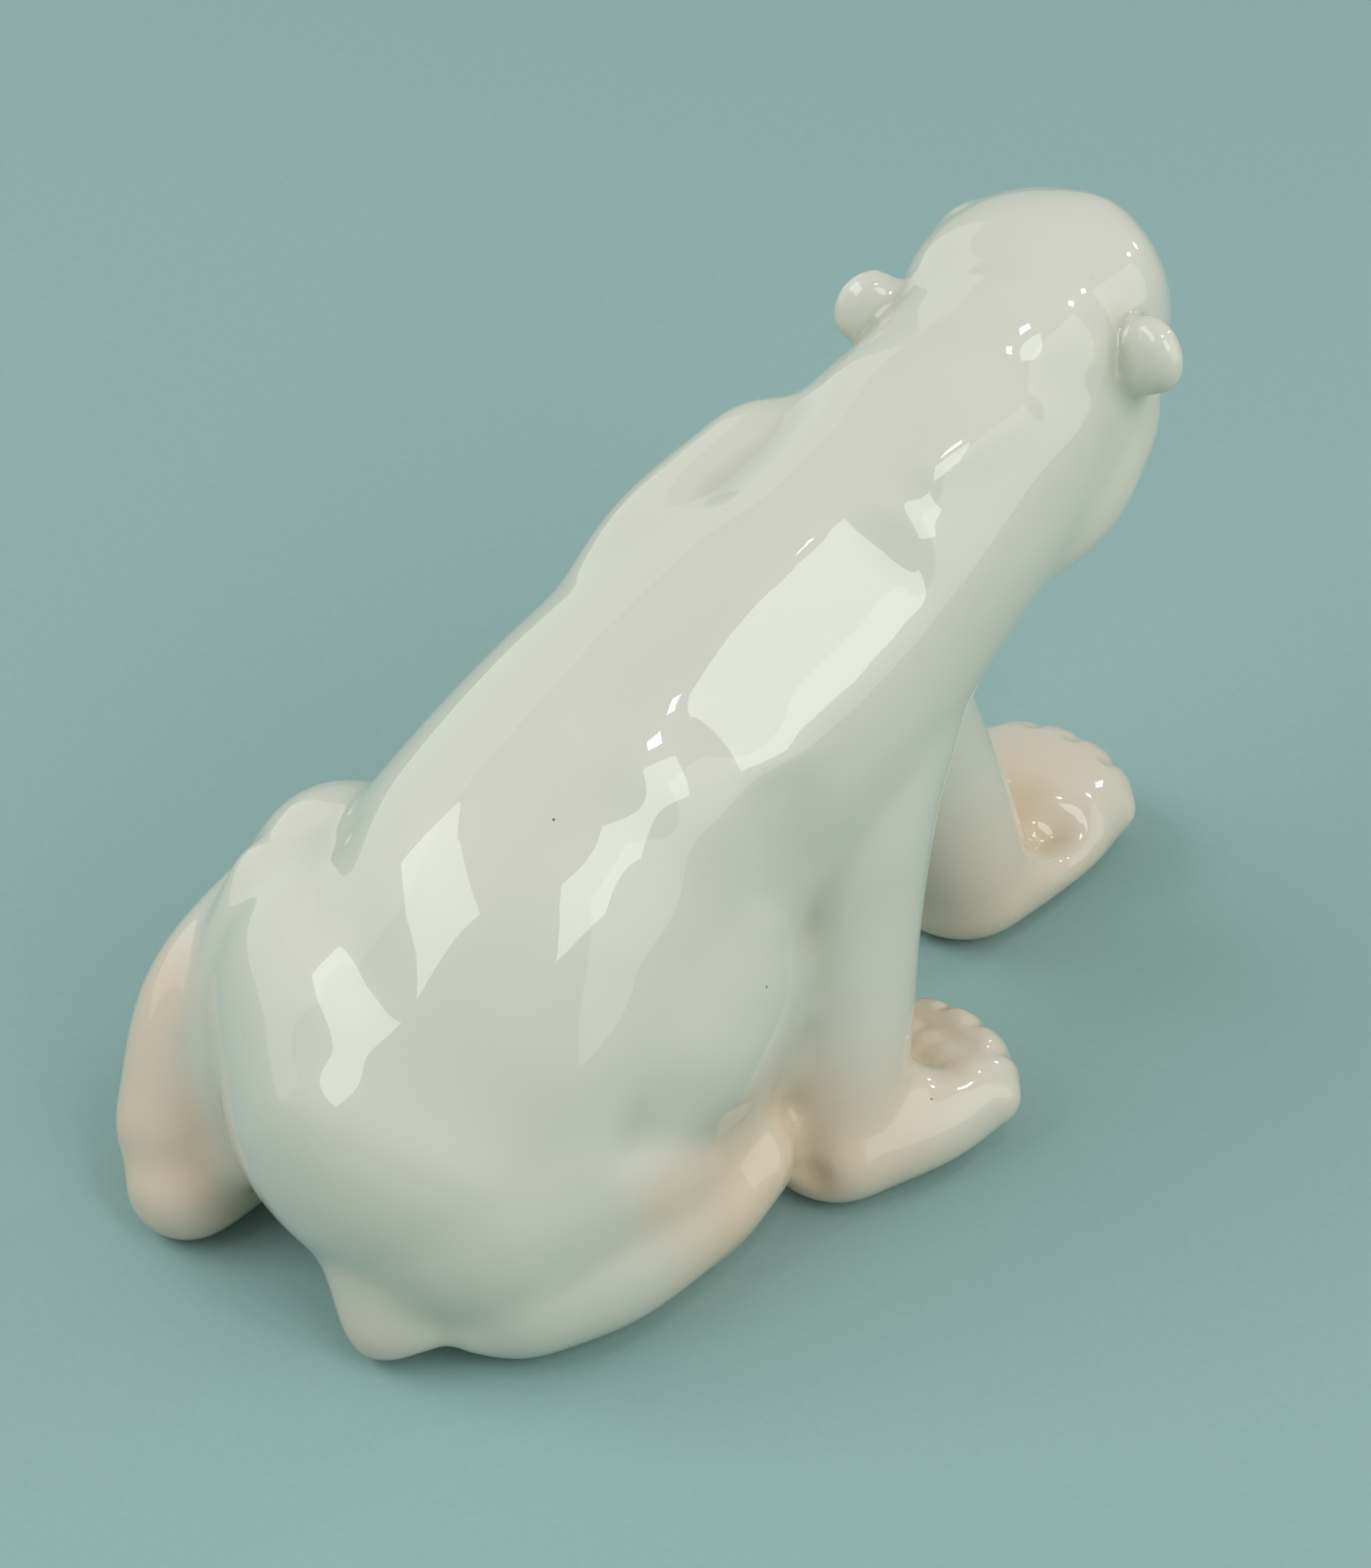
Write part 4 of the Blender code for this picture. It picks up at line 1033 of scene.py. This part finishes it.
def dressed(piece, whole, shift):
    """Give a casting the whole skin's coats and outward directions, so that no seam shows, and
    flat faces where it is cut. Then move it into the frame."""
    lay = piece.modifiers.new("Lay", "DATA_TRANSFER")
    lay.object = whole
    lay.use_vert_data = True
    lay.data_types_verts = {"COLOR_VERTEX"}
    lay.vert_mapping = "POLYINTERP_NEAREST"
    lay.use_loop_data = True
    lay.data_types_loops = {"CUSTOM_NORMAL"}
    lay.loop_mapping = "POLYINTERP_NEAREST"
    mesh = settle(piece).data
    facing = values(mesh.corner_normals, "vector", 3)
    flat = values(mesh.polygon_normals, "vector", 3)
    sides = values(mesh.polygons, "loop_total", 1, np.int32)[:, 0]
    finish = values(mesh.polygons, "material_index", 1, np.int32)[:, 0]
    cut = np.repeat(finish == 1, sides)
    facing[cut] = np.repeat(flat, sides, axis=0)[cut]
    mesh.normals_split_custom_set(facing.tolist())
    mesh.transform(Matrix.Translation(shift))


# Finishes


def linear(hex_colour):
    """An sRGB hex colour as linear red, green, blue and alpha."""
    levels = np.array([int(hex_colour[k:k + 2], 16) for k in (1, 3, 5)]) / 255
    curve = np.where(levels <= 0.04045, levels / 12.92, ((levels + 0.055) / 1.055) ** 2.4)
    return (*curve.tolist(), 1.0)


def node(tree, kind, inputs=None, **settings):
    """Adds a node. An input's value is a socket to link, or a plain value."""
    added = tree.nodes.new(kind)
    for key, value in settings.items():
        setattr(added, key, value)
    for key, value in (inputs or {}).items():
        if isinstance(value, bpy.types.NodeSocket):
            tree.links.new(value, added.inputs[key])
        else:
            added.inputs[key].default_value = value
    return added


def material(name, looks):
    """A material, its nodes and its shader, whose own sockets hold the plain values."""
    made = bpy.data.materials.new(name)
    made.use_nodes = True
    shader = made.node_tree.nodes["Principled BSDF"]
    for socket, value in looks.items():
        shader.inputs[socket].default_value = value
    return made, made.node_tree, shader


def pitch(size):
    """A pattern's scale, from the size of its marks in millimetres."""
    return 1 / (size * MM)


def glazed_porcelain():
    """Clear feldspar glaze, fired glossy over white hard-paste porcelain with sprayed underglaze
    colour: a deep even gloss like water, a soft body colour below it, a darker greenish tint in
    the hollows, partly glaze that ran together there and partly painted shade, and a few iron
    specks and pinholes."""
    made, tree, shader = material("clear_glaze_on_porcelain", {
        "Roughness": 0.4, "IOR": 1.5, "Specular IOR Level": 0.3,
        "Coat Weight": 1.0, "Coat Roughness": 0.02, "Coat IOR": 1.5,
    })
    place = node(tree, "ShaderNodeTexCoord").outputs["Object"]
    coats = node(tree, "ShaderNodeVertexColor", layer_name="coats").outputs["Color"]
    coats = node(tree, "ShaderNodeSeparateColor", {"Color": coats}).outputs
    cloud = node(tree, "ShaderNodeTexNoise", {"Vector": place, "Scale": pitch(CLOUD_SIZE), "Detail": 3.0})
    body = node(tree, "ShaderNodeMix", {
        SHARE: cloud.outputs["Fac"], FIRST: linear("#D9D8C8"), SECOND: linear("#D1D1C3"),
    }, data_type="RGBA").outputs[MIXED]
    grain = node(tree, "ShaderNodeTexNoise", {"Vector": place, "Scale": pitch(DROP_SIZE), "Detail": 2.0})
    drops = node(tree, "ShaderNodeMapRange", {
        "Value": grain.outputs["Fac"], "To Min": 0.6, "To Max": 1.4,
    })
    spray = node(tree, "ShaderNodeMath", {
        0: coats["Green"], 1: drops.outputs["Result"],
    }, operation="MULTIPLY", use_clamp=True).outputs[0]
    cells = node(tree, "ShaderNodeTexVoronoi", {"Vector": place, "Scale": pitch(SPECK_SPACING)})
    lot = node(tree, "ShaderNodeSeparateColor", {"Color": cells.outputs["Color"]}).outputs["Red"]
    chosen = node(tree, "ShaderNodeMath", {0: lot, 1: SPECK_FREE}, operation="GREATER_THAN").outputs[0]
    near = node(tree, "ShaderNodeMapRange", {
        "Value": cells.outputs["Distance"], "From Min": SPECK_CORE, "From Max": SPECK_RIM,
        "To Min": 1.0, "To Max": 0.0,
    }).outputs["Result"]
    speck = node(tree, "ShaderNodeMath", {0: near, 1: chosen}, operation="MULTIPLY").outputs[0]
    # Pooled glaze with painted shade in the hollows, sprayed cream, iron specks and ink, one over the other
    for share, colour in (
        (coats["Red"], "#B9BBA6"),
        (spray, "#E2C4A6"),
        (speck, "#7A5B41"),
        (coats["Blue"], "#2B2523"),
    ):
        body = node(tree, "ShaderNodeMix", {
            SHARE: share, FIRST: body, SECOND: linear(colour),
        }, data_type="RGBA").outputs[MIXED]
    tree.links.new(body, shader.inputs["Base Color"])
    ripple = node(tree, "ShaderNodeTexNoise", {"Vector": place, "Scale": pitch(RIPPLE_SIZE), "Detail": 1.0})
    bump = node(tree, "ShaderNodeBump", {
        "Height": ripple.outputs["Fac"], "Distance": RIPPLE_HEIGHT * MM, "Strength": 1.0,
    })
    tree.links.new(bump.outputs["Normal"], shader.inputs["Normal"])
    tree.links.new(bump.outputs["Normal"], shader.inputs["Coat Normal"])
    return made


def biscuit():
    """Bare fired porcelain, wiped clean of glaze and ground flat: matt, faintly gritty and
    stained warm by the kiln shelf."""
    made, tree, shader = material("bare_biscuit_sole", {"Roughness": 0.85})
    place = node(tree, "ShaderNodeTexCoord").outputs["Object"]
    stain = node(tree, "ShaderNodeTexNoise", {"Vector": place, "Scale": pitch(STAIN_SIZE), "Detail": 4.0})
    colour = node(tree, "ShaderNodeMix", {
        SHARE: stain.outputs["Fac"], FIRST: linear("#E6E0D3"), SECOND: linear("#CDBFA8"),
    }, data_type="RGBA").outputs[MIXED]
    tree.links.new(colour, shader.inputs["Base Color"])
    grit = node(tree, "ShaderNodeTexNoise", {"Vector": place, "Scale": pitch(GRIT_SIZE), "Detail": 2.0})
    bump = node(tree, "ShaderNodeBump", {
        "Height": grit.outputs["Fac"], "Distance": GRIT_HEIGHT * MM, "Strength": 1.0,
    })
    tree.links.new(bump.outputs["Normal"], shader.inputs["Normal"])
    return made


# Putting it together


def bear():
    """Build the skin, paint it, part it and put each casting in its node's place."""
    finishes = [glazed_porcelain(), biscuit()]
    whole = skin()
    paint(whole)
    for finish in finishes:
        whole.data.materials.append(finish)
    points = read(whole.data)[0]
    low, high = points.min(0), points.max(0)
    low[2] = SOLE_TRIM
    # The middle of the skin's box, above the soles, goes to the middle of the solids' box
    shift = Vector(np.array(cad_box).mean(0) - metres((low + high) / 2))
    castings = parted(whole, finishes)
    for piece in castings.values():
        dressed(piece, whole, shift)
    bpy.data.objects.remove(whole)
    for name, piece in castings.items():
        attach(piece, "root")
        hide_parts(name)
    return shift


# The camera stands behind the bear's right side, well above it, and looks down at it
CAMERA_AZIMUTH = 220.0
CAMERA_ELEVATION = 35.0
CAMERA_DISTANCE = 0.72
CAMERA_TARGET = (67.5, 0.0, 55.8)
FRAME_HEIGHT = 0.2049

# The cloth ends before the soft lamps, so that none of it lies in the dark behind them
FLOOR_RADIUS = 1.15

# What the soft light from all round amounts to, where white is 1, and how high above the
# ground the lamps look
SOFT_LIGHT = 0.39
LAMP_AIM = 0.05


def direction(azimuth, elevation):
    """From the bear towards a place round it: azimuth 0 is in front of it, 90 to its left."""
    a, e = math.radians(azimuth), math.radians(elevation)
    return Vector((math.sin(a) * math.cos(e), -math.cos(a) * math.cos(e), math.sin(e)))


def camera(shift):
    """The photograph's viewpoint."""
    data = bpy.data.cameras.new("camera")
    data.sensor_fit = "VERTICAL"
    data.sensor_height = 36.0
    data.lens = data.sensor_height * CAMERA_DISTANCE / FRAME_HEIGHT
    data.clip_start = 0.01
    eye = shown("camera", data)
    back = direction(CAMERA_AZIMUTH, CAMERA_ELEVATION)
    eye.location = Vector(metres(CAMERA_TARGET)) + shift + back * CAMERA_DISTANCE
    eye.rotation_euler = (-back).to_track_quat("-Z", "Y").to_euler()
    bpy.context.scene.camera = eye


def lamp(name, azimuth, elevation, distance, width, height, radiance, colour="#FFFFFF"):
    """A flat lamp that faces the bear. Its power is pi times its area times its radiance."""
    data = bpy.data.lights.new(name, "AREA")
    data.shape = "RECTANGLE"
    data.size = width
    data.size_y = height
    data.color = linear(colour)[:3]
    data.energy = math.pi * width * height * radiance
    light = shown(name, data)
    out = direction(azimuth, elevation)
    light.location = out * distance + Vector((0, 0, LAMP_AIM))
    light.rotation_euler = out.to_track_quat("Z", "Y").to_euler()


def floor():
    """A wide pale cloth, laid flat: matt, with a faint woven grain."""
    made, tree, shader = material("matt_pale_teal_cloth", {"Roughness": 0.9})
    place = node(tree, "ShaderNodeTexCoord").outputs["Object"]
    nap = node(tree, "ShaderNodeTexNoise", {"Vector": place, "Scale": pitch(NAP_SIZE), "Detail": 3.0})
    colour = node(tree, "ShaderNodeMix", {
        SHARE: nap.outputs["Fac"], FIRST: linear("#98B8B5"), SECOND: linear("#8FB0AE"),
    }, data_type="RGBA").outputs[MIXED]
    tree.links.new(colour, shader.inputs["Base Color"])
    turn = np.linspace(0, 2 * math.pi, 64, endpoint=False)
    ring = np.stack([np.cos(turn), np.sin(turn), turn * 0], 1) * FLOOR_RADIUS
    mesh = bpy.data.meshes.new("floor")
    mesh.from_pydata(ring.tolist(), [], [list(range(len(ring)))])
    mesh.materials.append(made)
    shown("floor", mesh)


def world():
    """Soft light from all round, with a pale teal backdrop that the camera and the glaze see."""
    made = bpy.data.worlds.new("studio")
    bpy.context.scene.world = made
    made.use_nodes = True
    tree = made.node_tree
    rays = node(tree, "ShaderNodeLightPath").outputs
    seen = rays["Is Camera Ray"]
    for ray in ("Is Glossy Ray", "Is Transmission Ray"):
        seen = node(tree, "ShaderNodeMath", {0: seen, 1: rays[ray]}, operation="MAXIMUM").outputs[0]
    soft = tree.nodes["Background"]
    soft.inputs["Color"].default_value = linear("#F2F4F2")
    soft.inputs["Strength"].default_value = SOFT_LIGHT
    backdrop = node(tree, "ShaderNodeBackground", {"Color": linear("#ABC4C1"), "Strength": 1.0})
    mix = node(tree, "ShaderNodeMixShader", {0: seen, 1: soft.outputs[0], 2: backdrop.outputs[0]})
    tree.links.new(mix.outputs[0], tree.nodes["World Output"].inputs["Surface"])


shift = bear()
floor()
world()
# Name, azimuth, elevation, distance, width, height, radiance and colour
lamp("back_window", 146, 47, 1.3, 1.3, 0.48, 3.2, "#FBFDFF")
lamp("side_window", -110, 41, 1.3, 0.46, 0.56, 3.6, "#FBFDFF")
lamp("left_soft_lamp", 98, 22, 1.3, 1.7, 1.2, 0.6, "#FFFCF6")
lamp("right_soft_lamp", -74, 22, 1.3, 1.4, 1.1, 1.1, "#FFFCF6")
lamp("left_bulb", -29, 41, 1.3, 0.09, 0.09, 30)
lamp("right_bulb", -13, 28, 1.3, 0.09, 0.09, 30)
lamp("far_bulb", -110, 64, 1.0, 0.14, 0.1, 12)
camera(shift)
bpy.context.scene.view_settings.view_transform = "Standard"
